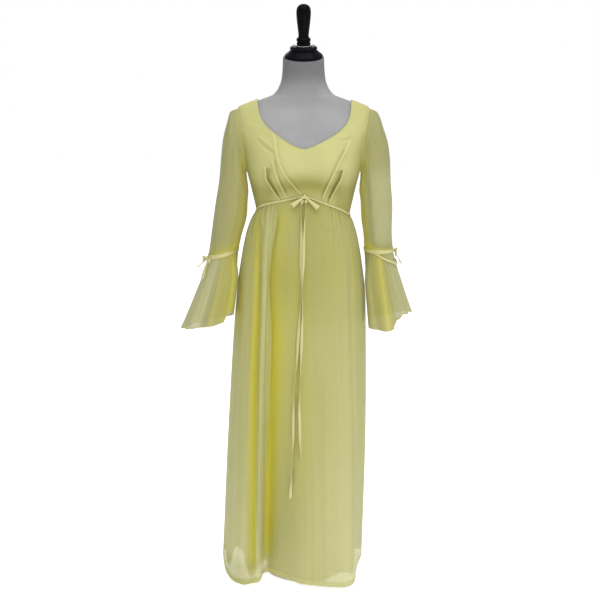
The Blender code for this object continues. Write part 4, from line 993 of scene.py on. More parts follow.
def crease_painted_shading(x, z):
    """Painted glow and shade beside each sharp crease, and a line of painted shade along it."""
    amount = shade = 0.0
    high = ramp(z, 0.70, 0.25)
    for (crease, line), dye in zip(crease_lines, CREASE_PAINTED_SHADES):
        away = (x - line(z)) * dye.side
        if -CREASE_EDGE < away < 3 * dye.spread:
            ends = ramp(z, crease.heights[0], -0.06) * ramp(z, CREASE_FOOT, 0.05)
            ends *= ramp(away, -CREASE_EDGE, 0.0025)
            amount += dye.strong * (1.20 - 0.45 * high) * ends * bell(away, 0.0, dye.spread)
            dark = dye.shade_high * high + dye.shade_low * (1 - high)
            shade += dark * ends * bell(away, 0.0, dye.spread * (0.60 - 0.25 * high))
    return amount, shade


def gather_shade(u, z):
    """Shade between the gathers and close under the ribbon."""
    drop = seam_height(arc_power(math.sin(math.radians(front_folds["seam"](u))))) - z
    if drop >= GATHER_REACH:
        return 0.0
    share = gather_share(u)
    gather = gather_relief(u * SEAM_LENGTH, max(0.0, drop), share, 3.0) / GATHER_DEEP
    between = GATHER_SHADE * ramp(gather, 0.45, -0.6) * share * math.exp(-drop / 0.055)
    return between + RIBBON_SHADE * math.exp(-drop / 0.010)


# Painted glow and shade in folds, creases and gathers, painted light on lit parts, and random streaks
def skirt_tone_and_painted_shading(u, point):
    x, z = point.x, point.z
    amount = 0.0
    for valley in SKIRT_VALLEYS:
        high = ramp(z, valley.top, -VALLEY_FADE)
        amount += valley.strong * bell(u, valley.turn, valley.spread) * high
    amount *= 0.45 + 0.55 * bell(z, 0.86, 0.22)
    creased, shade = crease_painted_shading(x, z)
    left = ramp(x, 0.05, -0.08) * ramp(x, -0.165, 0.03) * ramp(z, 1.04, -0.10) * ramp(z, 0.08, 0.10)
    amount += creased + LEFT_PAINTED_GLOW * left
    shade += SIDE_SHADE * bell(u, 0.0, 0.04) * bell(z, 0.86, 0.15)
    shade += CENTRE_SHADE * ramp(z, 0.70, 0.25) * bell(x, 0.03, 0.07)
    for spot in SKIRT_SPOTS:
        near = bell(x, spot.x, spot.x_spread) * bell(z, spot.z, spot.z_spread)
        amount += spot.dye * near
        shade += spot.shade * near
    shade += patches_at(SKIRT_SHADES, x, z) + gather_shade(u, z)
    streak = STREAK_DYE * uneven(u * 60, z * 1.5, 14.0) * ramp(z, 1.08, -0.10)
    between_creases = (crease_lines[0][1](z) + crease_lines[1][1](z)) / 2
    strip = STRIP_PAINTED_HIGHLIGHT * bell(x, between_creases, STRIP_SPREAD)
    paler = patches_at(SKIRT_PAINTED_LIGHT, x, z) * (1 - min(1.0, amount * 1.2 + shade * 1.5))
    amount = (amount + streak - paler) * (1 - min(0.8, strip)) - 0.45 * strip
    return max(-1.0, min(1.0, amount)), shade


# Painted light low down and painted glow, light and shade at the side seam, over a tone with random streaks
def skirt_back_tone_and_painted_shading(u, point, sign):
    """The same for a back panel, u 0 at the side seam."""
    z = point.z
    seam = bell(u, 0.0, 0.10) * ramp(z, 1.06, -0.12) * ramp(z, 0.10, 0.30)
    streak = max(0.0, uneven(u * 26, z * 1.2, 33.0 + sign)) * ramp(z, 1.08, -0.15)
    amount = BACK_DYE + BACK_STREAK * streak + BACK_SEAM_PAINTED_SHADING[sign] * seam
    amount -= BACK_PAINTED_LIGHT * ramp(z, 0.50, -0.40)
    shade = BACK_SEAM_SHADE[sign] * seam + patches_at(SKIRT_SHADES[1:], 0.0, z)
    return max(-1.0, min(1.0, amount)), shade


# Painted shade inside, at the end and low down; painted light on the front of the right sleeve
def sleeve_painted_shading(u, point):
    end = SLEEVES["left" if point.x < 0 else "right"][-1]
    drop = point.z - end.inner_z - (end.outer_z - end.inner_z) * (1 + math.cos(math.tau * u)) / 2
    amount = SLEEVE_INSIDE_PAINTED_SHADE * bell(u, 0.46, 0.12) * ramp(point.z, 1.34, -0.10)
    amount += SLEEVE_LOW_PAINTED_SHADE * ramp(point.z, 1.03, -0.04) + SLEEVE_END_PAINTED_SHADE * bell(drop, 0.0, 0.013)
    return amount - patches_at((SLEEVE_PAINTED_LIGHT,), point.x, point.z) * (1 - min(1.0, amount * 1.3)), 0.0


# A paler tone with random change, painted glow and shade round the flounce, painted shade in its creases
def flounce_tone_and_painted_shading(u, side):
    amount = FLOUNCE_DYE + 0.20 * uneven_round(math.tau * u, 6, 21.0)
    for part in FLOUNCE_DEEP[side]:
        amount += part.strong * bell(u, part.turn, part.spread)
    crease = bell(u, FLOUNCE_CREASE[side], 0.008) + bell(u, 0.50, 0.03)
    return min(1.0, amount), FLOUNCE_SHADE * crease


# Materials: shared effects are node groups, each material has its own shader

FINE = "fine_"
WAVE_TURN = math.tau / 20
YARN_WOBBLE = 0.0007
SATIN_RIB = 0.0004
KNIT_RIB = 0.0050
# Colours of painted light and shade: fold glow, painted light, painted shade, bodice's painted shade
VALLEY = (0.790, 0.720, 0.085)
PALE = (0.835, 0.815, 0.430)
SHADED = (0.400, 0.375, 0.045)
BODICE_PAINTED_SHADE = (0.360, 0.335, 0.080)
LACQUER_GLOSS = 0.035


def feed(tree, socket, value):
    """A socket gets its value, or a link where the value comes from another node."""
    if isinstance(value, bpy.types.NodeSocket):
        tree.links.new(value, socket)
    else:
        socket.default_value = value


def feed_named(tree, sockets, values):
    """The same for several sockets by name, with _ for a space."""
    for name, value in values.items():
        feed(tree, sockets[name.replace("_", " ")], value)


def add_node(tree, kind, settings=None, **inputs):
    """A node with its settings and its named inputs."""
    node = tree.nodes.new(kind)
    for name, value in (settings or {}).items():
        setattr(node, name, value)
    feed_named(tree, node.inputs, inputs)
    return node


def math_node(tree, operation, *values):
    node = add_node(tree, "ShaderNodeMath", {"operation": operation})
    for socket, value in zip(node.inputs, values):
        feed(tree, socket, value)
    return node.outputs[0]


def noise_node(tree, vector, scale, detail=2.0, rough=0.5):
    return add_node(tree, "ShaderNodeTexNoise", Vector=vector, Scale=scale, Detail=detail,
                    Roughness=rough).outputs["Fac"]


def wave_node(tree, vector, scale, direction, distortion=0.0, detail_scale=1.0):
    return add_node(tree, "ShaderNodeTexWave", {"bands_direction": direction}, Vector=vector,
                    Scale=scale, Distortion=distortion, Detail_Scale=detail_scale).outputs["Fac"]


def stretched_vector(tree, vector, *scale):
    return add_node(tree, "ShaderNodeMapping", Vector=vector, Scale=scale).outputs["Vector"]


def spanned(tree, value, **ends):
    """A value taken from one range to another."""
    return add_node(tree, "ShaderNodeMapRange", Value=value, **ends).outputs["Result"]


def attribute(tree, name):
    return add_node(tree, "ShaderNodeAttribute", {"attribute_name": name}).outputs["Fac"]


def group_node(tree, group, **inputs):
    return add_node(tree, "ShaderNodeGroup", {"node_tree": group}, **inputs).outputs


def mixed(tree, share, first, second):
    """A colour between two colours; each may be a value or a link."""
    node = add_node(tree, "ShaderNodeMix", {"data_type": "RGBA"})
    feed(tree, node.inputs[0], share)
    sockets = [socket for socket in node.inputs if socket.type == "RGBA"]
    for socket, value in zip(sockets, (first, second)):
        feed(tree, socket, (*value, 1.0) if isinstance(value, tuple) else value)
    return next(socket for socket in node.outputs if socket.type == "RGBA")


def bump(tree, height, distance, strength, **under):
    return add_node(tree, "ShaderNodeBump", Height=height, Distance=distance, Strength=strength,
                    **under).outputs["Normal"]


def shader_group(name, inputs, outputs):
    """A shader node group: vector inputs have no value. Gives the tree and its two ends."""
    tree = bpy.data.node_groups.new(name, "ShaderNodeTree")
    for label, value in inputs.items():
        kind = "NodeSocketVector" if value is None else "NodeSocketFloat"
        socket = tree.interface.new_socket(label, in_out="INPUT", socket_type=kind)
        if value is not None:
            socket.default_value = value
    for label in outputs:
        tree.interface.new_socket(label, in_out="OUTPUT", socket_type="NodeSocketFloat")
    return tree, tree.nodes.new("NodeGroupInput").outputs, tree.nodes.new("NodeGroupOutput").inputs


def make_weave_group():
    """Plain weave of crepe yarn: threads both ways, uneven, with gaps between them."""
    tree, given, result = shader_group("plain weave", {"Cloth": None, "Threads": 1600.0},
                                       ("Height", "Gap"))
    scale = math_node(tree, "MULTIPLY", given["Threads"], WAVE_TURN)
    wobble = noise_node(tree, given["Cloth"], 260.0)
    shifted = add_node(tree, "ShaderNodeVectorMath", {"operation": "MULTIPLY_ADD"})
    for socket, value in zip(shifted.inputs, (wobble, (YARN_WOBBLE, YARN_WOBBLE, 0.0), given["Cloth"])):
        feed(tree, socket, value)
    warp = wave_node(tree, shifted.outputs[0], scale, "X")
    weft = wave_node(tree, shifted.outputs[0], scale, "Y")
    gap = math_node(tree, "MULTIPLY", math_node(tree, "SUBTRACT", 1.0, warp),
                    math_node(tree, "SUBTRACT", 1.0, weft))
    feed_named(tree, result, {"Height": math_node(tree, "MAXIMUM", warp, weft), "Gap": gap})
    return tree


def make_crepe_group():
    """The pebbled hand of crepe: fine crinkles stretched a little along the warp."""
    tree, given, result = shader_group("crepe crinkle", {"Cloth": None, "Size": 0.0016},
                                       ("Height", "Tone"))
    scale = math_node(tree, "DIVIDE", 1.0, given["Size"])
    fine = noise_node(tree, stretched_vector(tree, given["Cloth"], 1.0, 0.42, 1.0), scale, 3.0, 0.62)
    coarse = noise_node(tree, given["Cloth"], math_node(tree, "MULTIPLY", scale, 0.11))
    height = math_node(tree, "MULTIPLY_ADD", coarse, 0.6, fine)
    feed_named(tree, result, {"Height": height, "Tone": coarse})
    return tree


def make_tone_group():
    """Slow change of tone over a piece, from its place on the object."""
    tree, given, result = shader_group("slow tone", {"Place": None, "Per metre": 7.0}, ("Tone",))
    slow = noise_node(tree, given["Place"], given["Per metre"], 3.0, 0.55)
    feed(tree, result["Tone"], spanned(tree, slow, From_Min=0.30, From_Max=0.70))
    return tree


def make_satin_group():
    """Satin: fine ribs along the ribbon, a few pulled threads and soft cross creases."""
    tree, given, result = shader_group("satin", {"Cloth": None}, ("Height", "Streak"))
    ribs = wave_node(tree, given["Cloth"], WAVE_TURN / SATIN_RIB, "X")
    streak = noise_node(tree, stretched_vector(tree, given["Cloth"], 1.0, 0.03, 1.0), 1500.0, 3.0)
    crease = noise_node(tree, stretched_vector(tree, given["Cloth"], 0.25, 1.0, 1.0), 210.0)
    height = math_node(tree, "MULTIPLY_ADD", crease, 2.2, math_node(tree, "MULTIPLY", ribs, 0.25))
    feed_named(tree, result, {"Height": height, "Streak": streak})
    return tree


def make_knit_group():
    """Fine rib knit: columns of stitches running up the body."""
    tree, given, result = shader_group("rib knit", {"Cloth": None, "Rib": KNIT_RIB}, ("Height", "Valley"))
    scale = math_node(tree, "DIVIDE", WAVE_TURN, given["Rib"])
    ribs = wave_node(tree, given["Cloth"], scale, "X", 0.5, 0.6)
    loops = wave_node(tree, given["Cloth"], math_node(tree, "MULTIPLY", scale, 1.7), "Y")
    fuzz = noise_node(tree, given["Cloth"], 1400.0)
    height = math_node(tree, "MULTIPLY_ADD", loops, 0.22, ribs)
    height = math_node(tree, "MULTIPLY_ADD", fuzz, 0.35, height)
    feed_named(tree, result, {"Height": height, "Valley": math_node(tree, "SUBTRACT", 1.0, ribs)})
    return tree


def make_wear_group():
    """Fine rubbing and fingermarks on a hard finish, to be read as roughness and height."""
    tree, given, result = shader_group("handling marks", {"Place": None, "Low": 0.1, "High": 0.3},
                                       ("Roughness", "Height"))
    smear = noise_node(tree, given["Place"], 38.0, 4.0, 0.6)
    fine = noise_node(tree, stretched_vector(tree, given["Place"], 1.0, 1.0, 0.12), 900.0, 3.0)
    share = math_node(tree, "MULTIPLY_ADD", fine, 0.4, math_node(tree, "MULTIPLY", smear, 0.6))
    rough = spanned(tree, share, From_Min=0.35, From_Max=0.65, To_Min=given["Low"], To_Max=given["High"])
    feed_named(tree, result, {"Roughness": rough, "Height": fine})
    return tree


weave_tree = make_weave_group()
crepe_tree = make_crepe_group()
tone_tree = make_tone_group()
satin_tree = make_satin_group()
knit_tree = make_knit_group()
wear_tree = make_wear_group()


def new_material(name, per_metre, **shader):
    """A material with its shader's values, its UVs and its slow change of tone as links."""
    material = bpy.data.materials.new(FINE + name)
    material.use_nodes = True
    tree = material.node_tree
    finish(tree, **shader)
    cloth_uv = add_node(tree, "ShaderNodeUVMap", {"uv_map": "UVMap"}).outputs["UV"]
    place = tree.nodes.new("ShaderNodeTexCoord").outputs["Object"]
    tone = group_node(tree, tone_tree, Place=place, Per_metre=per_metre)["Tone"]
    return material, tree, cloth_uv, place, tone


def finish(tree, **inputs):
    """Give the material's own shader its inputs."""
    feed_named(tree, tree.nodes["Principled BSDF"].inputs, inputs)


def cover_of(tree, opacity, doubled, gap, tone, passing):
    """How much a sheer cloth hides, from its layers, its weave and its tone."""
    cover = spanned(tree, attribute(tree, "layers"), To_Min=opacity, To_Max=doubled)
    cover = math_node(tree, "MULTIPLY_ADD", gap, -0.25, cover)
    cover = math_node(tree, "MULTIPLY_ADD", tone, 0.05, cover)
    cover = math_node(tree, "MINIMUM", math_node(tree, "MAXIMUM", cover, 0.02), 1.0)
    if passing:
        ray = tree.nodes.new("ShaderNodeLightPath").outputs
        lighting = math_node(tree, "MAXIMUM", ray["Is Shadow Ray"], ray["Is Diffuse Ray"])
        let_through = math_node(tree, "MULTIPLY_ADD", lighting, -passing, 1.0)
        cover = math_node(tree, "MULTIPLY", cover, let_through)
    return cover


def woven_material(name, light, deep, sheen, threads=1600.0, crinkle=0.0016, opacity=None, doubled=None,
                   valley=VALLEY, pale=PALE, passing=0.0):
    """Dyed crepe cloth; opacity is one face's where the cloth is sheer, doubled where it is folded.

    Passing is the share of the light that a sheer cloth lets through beyond that, scattered.
    """
    material, tree, cloth_uv, _, tone = new_material(
        name, 6.0, Roughness=0.82, Sheen_Weight=sheen, Sheen_Roughness=0.45, Specular_IOR_Level=0.25)
    weave = group_node(tree, weave_tree, Cloth=cloth_uv, Threads=threads)
    crepe = group_node(tree, crepe_tree, Cloth=cloth_uv, Size=crinkle)
    share = math_node(tree, "MULTIPLY_ADD", crepe["Tone"], 0.30, math_node(tree, "MULTIPLY", tone, 0.45))
    # Painted shade: the gaps between the threads are darker
    share = math_node(tree, "MULTIPLY_ADD", weave["Gap"], 0.35, share)
    colour = mixed(tree, share, light, deep)
    # Painted light and shade: deep paints fold glow and shade, pale paints light, shade paints shade
    for label, other in (("deep", valley), ("pale", pale), ("shade", SHADED)):
        colour = mixed(tree, attribute(tree, label), colour, other)
    threads_normal = bump(tree, weave["Height"], 0.00008, 0.35)
    normal = bump(tree, crepe["Height"], 0.00030, 0.42, Normal=threads_normal)
    finish(tree, Base_Color=colour, Normal=normal)
    if opacity is not None:
        finish(tree, Alpha=cover_of(tree, opacity, doubled, weave["Gap"], tone, passing))
    return material


def ribbon_material():
    material, tree, cloth_uv, _, tone = new_material("ribbon", 20.0, Anisotropic=0.4, Sheen_Weight=0.15)
    satin = group_node(tree, satin_tree, Cloth=cloth_uv)
    share = math_node(tree, "MULTIPLY_ADD", satin["Streak"], 0.5, math_node(tree, "MULTIPLY", tone, 0.5))
    finish(tree, Base_Color=mixed(tree, share, (0.790, 0.735, 0.350), (0.670, 0.610, 0.250)),
           Roughness=math_node(tree, "MULTIPLY_ADD", satin["Streak"], 0.22, 0.30),
           Normal=bump(tree, satin["Height"], 0.00018, 0.5))
    return material


def jersey_material():
    material, tree, cloth_uv, _, tone = new_material("jersey", 9.0, Roughness=0.88, Sheen_Weight=0.10)
    knit = group_node(tree, knit_tree, Cloth=cloth_uv)
    # Painted shade: the valleys between the ribs are darker
    share = math_node(tree, "MULTIPLY_ADD", knit["Valley"], 0.5, math_node(tree, "MULTIPLY", tone, 0.35))
    knitted = mixed(tree, share, (0.465, 0.465, 0.471), (0.300, 0.300, 0.304))
    # Painted shade: the deep attribute darkens the knit towards the top of the neck
    finish(tree, Base_Color=mixed(tree, attribute(tree, "deep"), knitted, (0.125, 0.124, 0.121)),
           Normal=bump(tree, knit["Height"], 0.0003, 0.55))
    return material


def hard_material(name, light, deep, low, high, metallic=0.0, gloss=0.5):
    material, tree, _, place, tone = new_material(name, 30.0, Metallic=metallic, Specular_IOR_Level=gloss)
    wear = group_node(tree, wear_tree, Place=place, Low=low, High=high)
    finish(tree, Base_Color=mixed(tree, tone, light, deep), Roughness=wear["Roughness"],
           Normal=bump(tree, wear["Height"], 0.00002, 0.25))
    return material


# The bodice's folds and pockets get painted shade in this colour
chiffon = woven_material("chiffon", (0.672, 0.665, 0.300), (0.598, 0.578, 0.208), 0.12, valley=BODICE_PAINTED_SHADE)
overskirt = woven_material("overskirt", (0.720, 0.715, 0.310), (0.640, 0.620, 0.215), 0.12,
                           opacity=0.64, doubled=0.88)
# The sheer cloth's own colours for its painted fold glow and painted light
sheer = woven_material("sheer_chiffon", (0.480, 0.466, 0.200), (0.420, 0.404, 0.156), 0.10,
                       opacity=0.68, doubled=0.86, valley=(0.785, 0.720, 0.080), pale=(0.680, 0.670, 0.370),
                       passing=0.5)
lining_cloth = woven_material("lining", (0.700, 0.680, 0.270), (0.620, 0.590, 0.200), 0.05, 3200.0, 0.0030)
ribbon = ribbon_material()
jersey = jersey_material()
thread = woven_material("thread", (0.800, 0.780, 0.380), (0.700, 0.670, 0.280), 0.2, 2400.0, 0.0008)
zip_nylon = hard_material("zip_nylon", (0.700, 0.670, 0.320), (0.600, 0.565, 0.240), 0.35, 0.55)
zip_metal = hard_material("zip_metal", (0.640, 0.610, 0.520), (0.520, 0.490, 0.410), 0.22, 0.42, 1.0)
black_lacquer = hard_material("black_lacquer", (0.0070, 0.0068, 0.0100), (0.0034, 0.0032, 0.0050),
                              0.14, 0.30, gloss=LACQUER_GLOSS)
steel = hard_material("steel", (0.660, 0.655, 0.640), (0.560, 0.555, 0.540), 0.18, 0.36, 1.0)
base_paint = hard_material("base_paint", (0.960, 0.960, 0.955), (0.930, 0.930, 0.925), 0.38, 0.55)


# Mesh helpers

def in_scene(name, data):
    obj = bpy.data.objects.new(name, data)
    bpy.context.scene.collection.objects.link(obj)
    return obj


def mesh_of(name, verts, faces, spread=None):
    """A mesh, with UVs where they are given for every corner."""
    mesh = bpy.data.meshes.new(name)
    mesh.from_pydata(verts, [], faces)
    if spread:
        mesh.uv_layers.new(name="UVMap").data.foreach_set("uv", spread)
    return mesh


def new_piece(name, mesh, material, replaced=(), body=DRESS):
    mesh.materials.append(material)
    mesh.shade_smooth()
    obj = in_scene(name, mesh)
    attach(obj, body)
    if replaced:
        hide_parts(*replaced)
    return obj


def lengths_along(points):
    """Running length at each point of a line."""
    runs = [0.0]
    for before, after in zip(points, points[1:]):
        runs.append(runs[-1] + (after - before).length)
    return runs


def point_values(mesh, name, values):
    mesh.attributes.new(name, "FLOAT", "POINT").data.foreach_set("value", values)


def panel_mesh(name, columns, rows, column_at, inside, closed=False, layers=None, dye=None):
    """A cloth panel with UVs in metres, and the size that it was cut to.

    column_at(u) gives one column's run, rows are fractions down it. layers tells how
    doubled the cloth is from u and its distance to the top and the bottom edge,
    dye how deep its colour is at a place from its tone and painted
    glow, painted light when negative, and its painted shade.
    """
    count = columns if closed else columns + 1
    grid = []
    for i in range(count):
        place = column_at(i / columns)
        grid.append([place(v) for v in rows])
    down = [lengths_along(column) for column in grid]
    wrapped = grid + grid[:1] if closed else grid
    across = [lengths_along([column[j] for column in wrapped]) for j in range(len(rows))]
    n = len(rows)
    corners = []
    for i in range(columns):
        for j in range(n - 1):
            corners.append(((i, j), (i + 1, j), (i + 1, j + 1), (i, j + 1)))
    faces = [[(i % count) * n + j for i, j in face] for face in corners]
    spread = []
    for face in corners:
        for i, j in face:
            spread += (across[j][i] - across[j][-1] / 2, down[i % count][j])
    mesh = mesh_of(name, [point for column in grid for point in column], faces, spread)
    places = [(i, j) for i in range(count) for j in range(n)]
    doubled = [0.0] * len(places)
    if layers:
        doubled = [layers(i / columns, down[i][j], down[i][-1] - down[i][j]) for i, j in places]
    tones_and_painted_shadings = [(0.0, 0.0)] * len(places)
    if dye:
        tones_and_painted_shadings = [dye(i / columns, grid[i][j]) for i, j in places]
    point_values(mesh, "layers", doubled)
    point_values(mesh, "deep", [max(0.0, amount) for amount, _ in tones_and_painted_shadings])
    point_values(mesh, "pale", [max(0.0, -amount) for amount, _ in tones_and_painted_shadings])
    point_values(mesh, "shade", [min(1.0, shade) for _, shade in tones_and_painted_shadings])
    outward = sum((face.normal.dot(face.center - inside(face.center)) for face in mesh.polygons))
    if outward < 0:
        mesh.flip_normals()
    area = sum(face.area for face in mesh.polygons)
    cut = (max(run[-1] for run in across), max(run[-1] for run in down), area)
    return mesh, cut


def walled(obj, thickness, offset=-1.0):
    wall = obj.modifiers.new("wall", "SOLIDIFY")
    wall.thickness = thickness
    wall.offset = offset
    return obj


def cloth(name, columns, rows, column_at, material, inside, replaced=(),
          closed=False, layers=None, wall=CHIFFON_WALL, dye=None):
    """A finished cloth panel of its own cut."""
    mesh, cut = panel_mesh(name, columns, rows, column_at, inside, closed, layers, dye)
    obj = walled(new_piece(name, mesh, material, replaced), wall)
    declare(cut)
    return obj


def declare(cut):
    """Works out a piece's flat size from its longest row and column and its area; the results are not kept.
    """
    width, length, area = cut
    flat = (round(width + 0.0005, 3), round(length + 0.0005, 3))
    round(min(area, flat[0] * flat[1]), 5)


def body_axis(point):
    return Vector((0.0, 0.0, point.z))


def sleeve_axis(side):
    sign = SIDES[side]
    return lambda point: Vector((sign * SLEEVE_MIDDLE, 0.0, point.z))


def narrowed(function, start, end):
    """The same columns with u run between two places."""
    return lambda u: function(start + (end - start) * u)


def from_side_seam(column_at, side):
    """A back panel's columns, from just past its side seam to the zip."""
    return narrowed(lambda u: column_at(u, side), 2 * SEAM_TURN, 1.0)


def even_rows(count, start=0.0, end=1.0):
    return [start + (end - start) * i / count for i in range(count + 1)]


def tube_mesh(name, path, radius, sides=8, closed=False):
    """A round tube along a line, with closed ends and its length in its UVs."""
    verts, faces, spread = [], [], []
    runs = lengths_along(path)
    last = len(path) - 1
    side_way = None
    for i, point in enumerate(path):
        before = path[(i - 1) % len(path)] if closed else path[max(0, i - 1)]
        after = path[(i + 1) % len(path)] if closed else path[min(last, i + 1)]
        along = (after - before).normalized()
        if side_way is None:
            side_way = along.orthogonal()
        side_way = (side_way - along * side_way.dot(along)).normalized()
        other = along.cross(side_way)
        for k in range(sides):
            turn = math.tau * k / sides
            verts.append(point + (side_way * math.cos(turn) + other * math.sin(turn)) * radius)
    rings = len(path) if closed else last
    for i in range(rings):
        a, b = i * sides, ((i + 1) % len(path)) * sides
        far = runs[i + 1] if i < last else runs[-1] + (path[0] - path[-1]).length
        for k in range(sides):
            faces.append((a + k, a + (k + 1) % sides, b + (k + 1) % sides, b + k))
            girth = math.tau * radius / sides
            spread += (k * girth, runs[i], (k + 1) * girth, runs[i], (k + 1) * girth, far, k * girth, far)
    if not closed:
        faces.append(tuple(range(sides))[::-1])
        faces.append(tuple(last * sides + k for k in range(sides)))
        spread += (0.0, runs[0]) * sides + (0.0, runs[-1]) * sides
    return mesh_of(name, verts, faces, spread)


def turned_mesh(name, profile, steps=96, lift=None):
    """A turned solid with closed ends: its profile runs down the outer side."""
    body = [p for p in profile if p.radius > 0]
    verts, faces = [], []
    for p in body:
        for k in range(steps):
            turn = math.tau * k / steps
            verts.append((p.radius * math.cos(turn), p.radius * math.sin(turn), p.height))
    for i in range(len(body) - 1):
        for k in range(steps):
            a, b = i * steps + k, i * steps + (k + 1) % steps
            faces.append((a, a + steps, b + steps, b))
    top, foot = len(verts), len(verts) + 1
    verts += [(0.0, 0.0, profile[0].height), (0.0, 0.0, profile[-1].height)]
    lowest = (len(body) - 1) * steps
    for k in range(steps):
        faces.append((top, k, (k + 1) % steps))
        faces.append((foot, lowest + (k + 1) % steps, lowest + k))
    mesh = mesh_of(name, verts, faces)
    if lift is not None:
        mesh.transform(lift)
    return mesh


def ribbon_strip(points, across, width_at, lap=0.0):
    """A ribbon's own faces: rows of three points, a little crowned, with its length as UV."""
    runs = lengths_along(points)
    verts, faces, spread = [], [], []
    for i, (point, way) in enumerate(zip(points, across)):
        ahead = points[min(i + 1, len(points) - 1)] - points[max(i - 1, 0)]
        crown = ahead.cross(way).normalized() * lap
        half = way.normalized() * width_at(i / (len(points) - 1)) / 2
        verts += [point - half, point + crown, point + half]
    for i in range(len(points) - 1):
        for k in (0, 1):
            a = i * 3 + k
            faces.append((a, a + 1, a + 4, a + 3))
            near, far = runs[i], runs[i + 1]
            left, right = (k - 1) * RIBBON_WIDTH / 2, k * RIBBON_WIDTH / 2
            spread += (left, near, right, near, right, far, left, far)
    return verts, faces, spread


def strips_mesh(name, strips):
    """One mesh of several ribbon strips."""
    verts, faces, spread = [], [], []
    for strip in strips:
        first = len(verts)
        verts += strip[0]
        faces += [tuple(first + k for k in face) for face in strip[1]]
        spread += strip[2]
    return mesh_of(name, verts, faces, spread)


# The dress

def skirt_rows():
    """Rows close together in the gathers and at the hem."""
    return even_rows(42, SEAM_ROW, 0.16)[:-1] + even_rows(62, 0.16, 0.95)[:-1] + even_rows(20, 0.95, 1.0)


def skirt_layers(u, top, bottom):
    """The hem is turned up once, the seam allowance lies under the ribbon."""
    return 1.0 if bottom < SKIRT_HEM_BAND or top < 0.006 else 0.0


def make_bodice():
    rows = even_rows(120, SEAM_ROW, 1 - SHOULDER_ROW)
    cloth("bodice_front_cloth", 220, rows, narrowed(bodice_front_column, SEAM_TURN, 1 - SEAM_TURN),
          chiffon, body_axis, ["bodice_front"], dye=bodice_painted_shading)
    for side, name in ((-1, "bodice_back_left"), (1, "bodice_back_right")):
        cloth(name + "_cloth", 60, even_rows(80, SEAM_ROW, 1 - SHOULDER_ROW),
              from_side_seam(bodice_back_column, side), chiffon, body_axis,
              [name])


def make_shoulder_seams():
    """A narrow ridge along each shoulder seam, over the join of front and back."""
    for side, name in ((-1, "shoulder_seam_left"), (1, "shoulder_seam_right")):
        path = []
        for i in range(26):
            t = SHOULDER_PART * (0.03 + 0.97 * i / 25)
            path.append(bodice_front_column(t if side < 0 else 1 - t)(1.0) - Vector((0, 0, RIDGE_SINK)))
        new_piece(name, tube_mesh(name, path, SEAM_RIDGE), chiffon)


def make_neck_edge():
    """The rolled edge of the neckline, from the zip round the front and back to the zip."""
    path = []
    for side in (-1, 1):
        run = []
        for i in range(60):
            t = SHOULDER_PART_BACK + (1 - SHOULDER_PART_BACK) * i / 59
            run.append(bodice_back_column(min(t, 1 - 2 * SEAM_TURN), side)(1 - SHOULDER_ROW))
        front = []
        for i in range(70):
            t = 0.5 * i / 69 if side < 0 else 1 - 0.5 * i / 69
            if SHOULDER_PART <= t <= 1 - SHOULDER_PART:
                front.append(bodice_front_column(t)(1 - SHOULDER_ROW))
        half = run[::-1] + front
        path += half if side < 0 else half[::-1][1:]
    mesh = tube_mesh("neckline_edge", path, ROLLED)
    new_piece("neckline_edge", mesh, chiffon)


def make_skirt():
    cloth("skirt_front_cloth", 264, skirt_rows(), narrowed(skirt_front_column, SEAM_TURN, 1 - SEAM_TURN),
          overskirt, body_axis, ["skirt_front"], layers=skirt_layers,
          dye=skirt_tone_and_painted_shading)
    for side, name in ((-1, "skirt_back_left"), (1, "skirt_back_right")):
        cloth(name + "_cloth", 80, skirt_rows(), from_side_seam(zipped_skirt_column, side),
              overskirt, body_axis, [name], layers=skirt_layers,
              dye=lambda u, point, side=side: skirt_back_tone_and_painted_shading(u, point, side))
    cloth("skirt_lining_cloth", 260, even_rows(16, 0.002, 0.08)[:-1] + even_rows(54, 0.08, 1.0),
          lining_column, lining_cloth, body_axis, ["skirt_lining"],
          closed=True, wall=LINING_WALL)


def sleeve_layers(u, top, bottom):
    """The armhole's seam allowance lies inside the sleeve's head."""
    return 1.0 if top < 0.013 or bottom < 0.006 else 0.0


def flounce_layers(u, top, bottom):
    """The edges are turned, and the front hangs in close folds towards the inside."""
    return 1.0 if top < 0.006 or bottom < 0.005 else 0.9 * ramp(u, 0.17, 0.06) * ramp(u, 0.56, -0.06)


def make_sleeves():
    for side, sign in SIDES.items():
        def upper(u, side=side, sign=sign):
            def place(s):
                point = sleeve(u, s, side)
                point.x += sign * 3 * SEAM_HALF * (1 - s) ** 6
                return point
            return place

        rows = even_rows(14, 0.0, 0.06)[:-1] + even_rows(100, 0.06, 0.9985)
        cloth("sleeve_" + side + "_cloth", 100, rows,
              upper, sheer, sleeve_axis(side), ["sleeve_" + side],
              closed=True, layers=sleeve_layers, dye=sleeve_painted_shading)
        rows = even_rows(44, 0.0015, 0.955)[:-1] + even_rows(8, 0.955, 1.0)
        cloth("flounce_" + side + "_cloth", 182, rows,
              lambda u, side=side: flounce_column(u, side), sheer, sleeve_axis(side),
              ["sleeve_flounce_" + side], closed=True,
              layers=flounce_layers, dye=lambda u, point, side=side: flounce_tone_and_painted_shading(u, side))
        seam = [armhole_point(i / 90, sign) + Vector((sign * 0.0004, 0.0, 0.0)) for i in range(90)]
        name = "armhole_seam_" + side
        new_piece(name, tube_mesh(name, seam, ARMHOLE_ROLL, 8, True), chiffon)


# Ribbons and bows

PANEL_RUN = {"bodice_front": 0.20, "skirt_front": 1.09, "bodice_back": 0.31, "skirt_back": 1.07,
             "sleeve": 0.40, "flounce": 0.22}
RIBBON_LEFT_OFF = 0.0055
WAIST_RIBBON_WIDTH = 0.0056


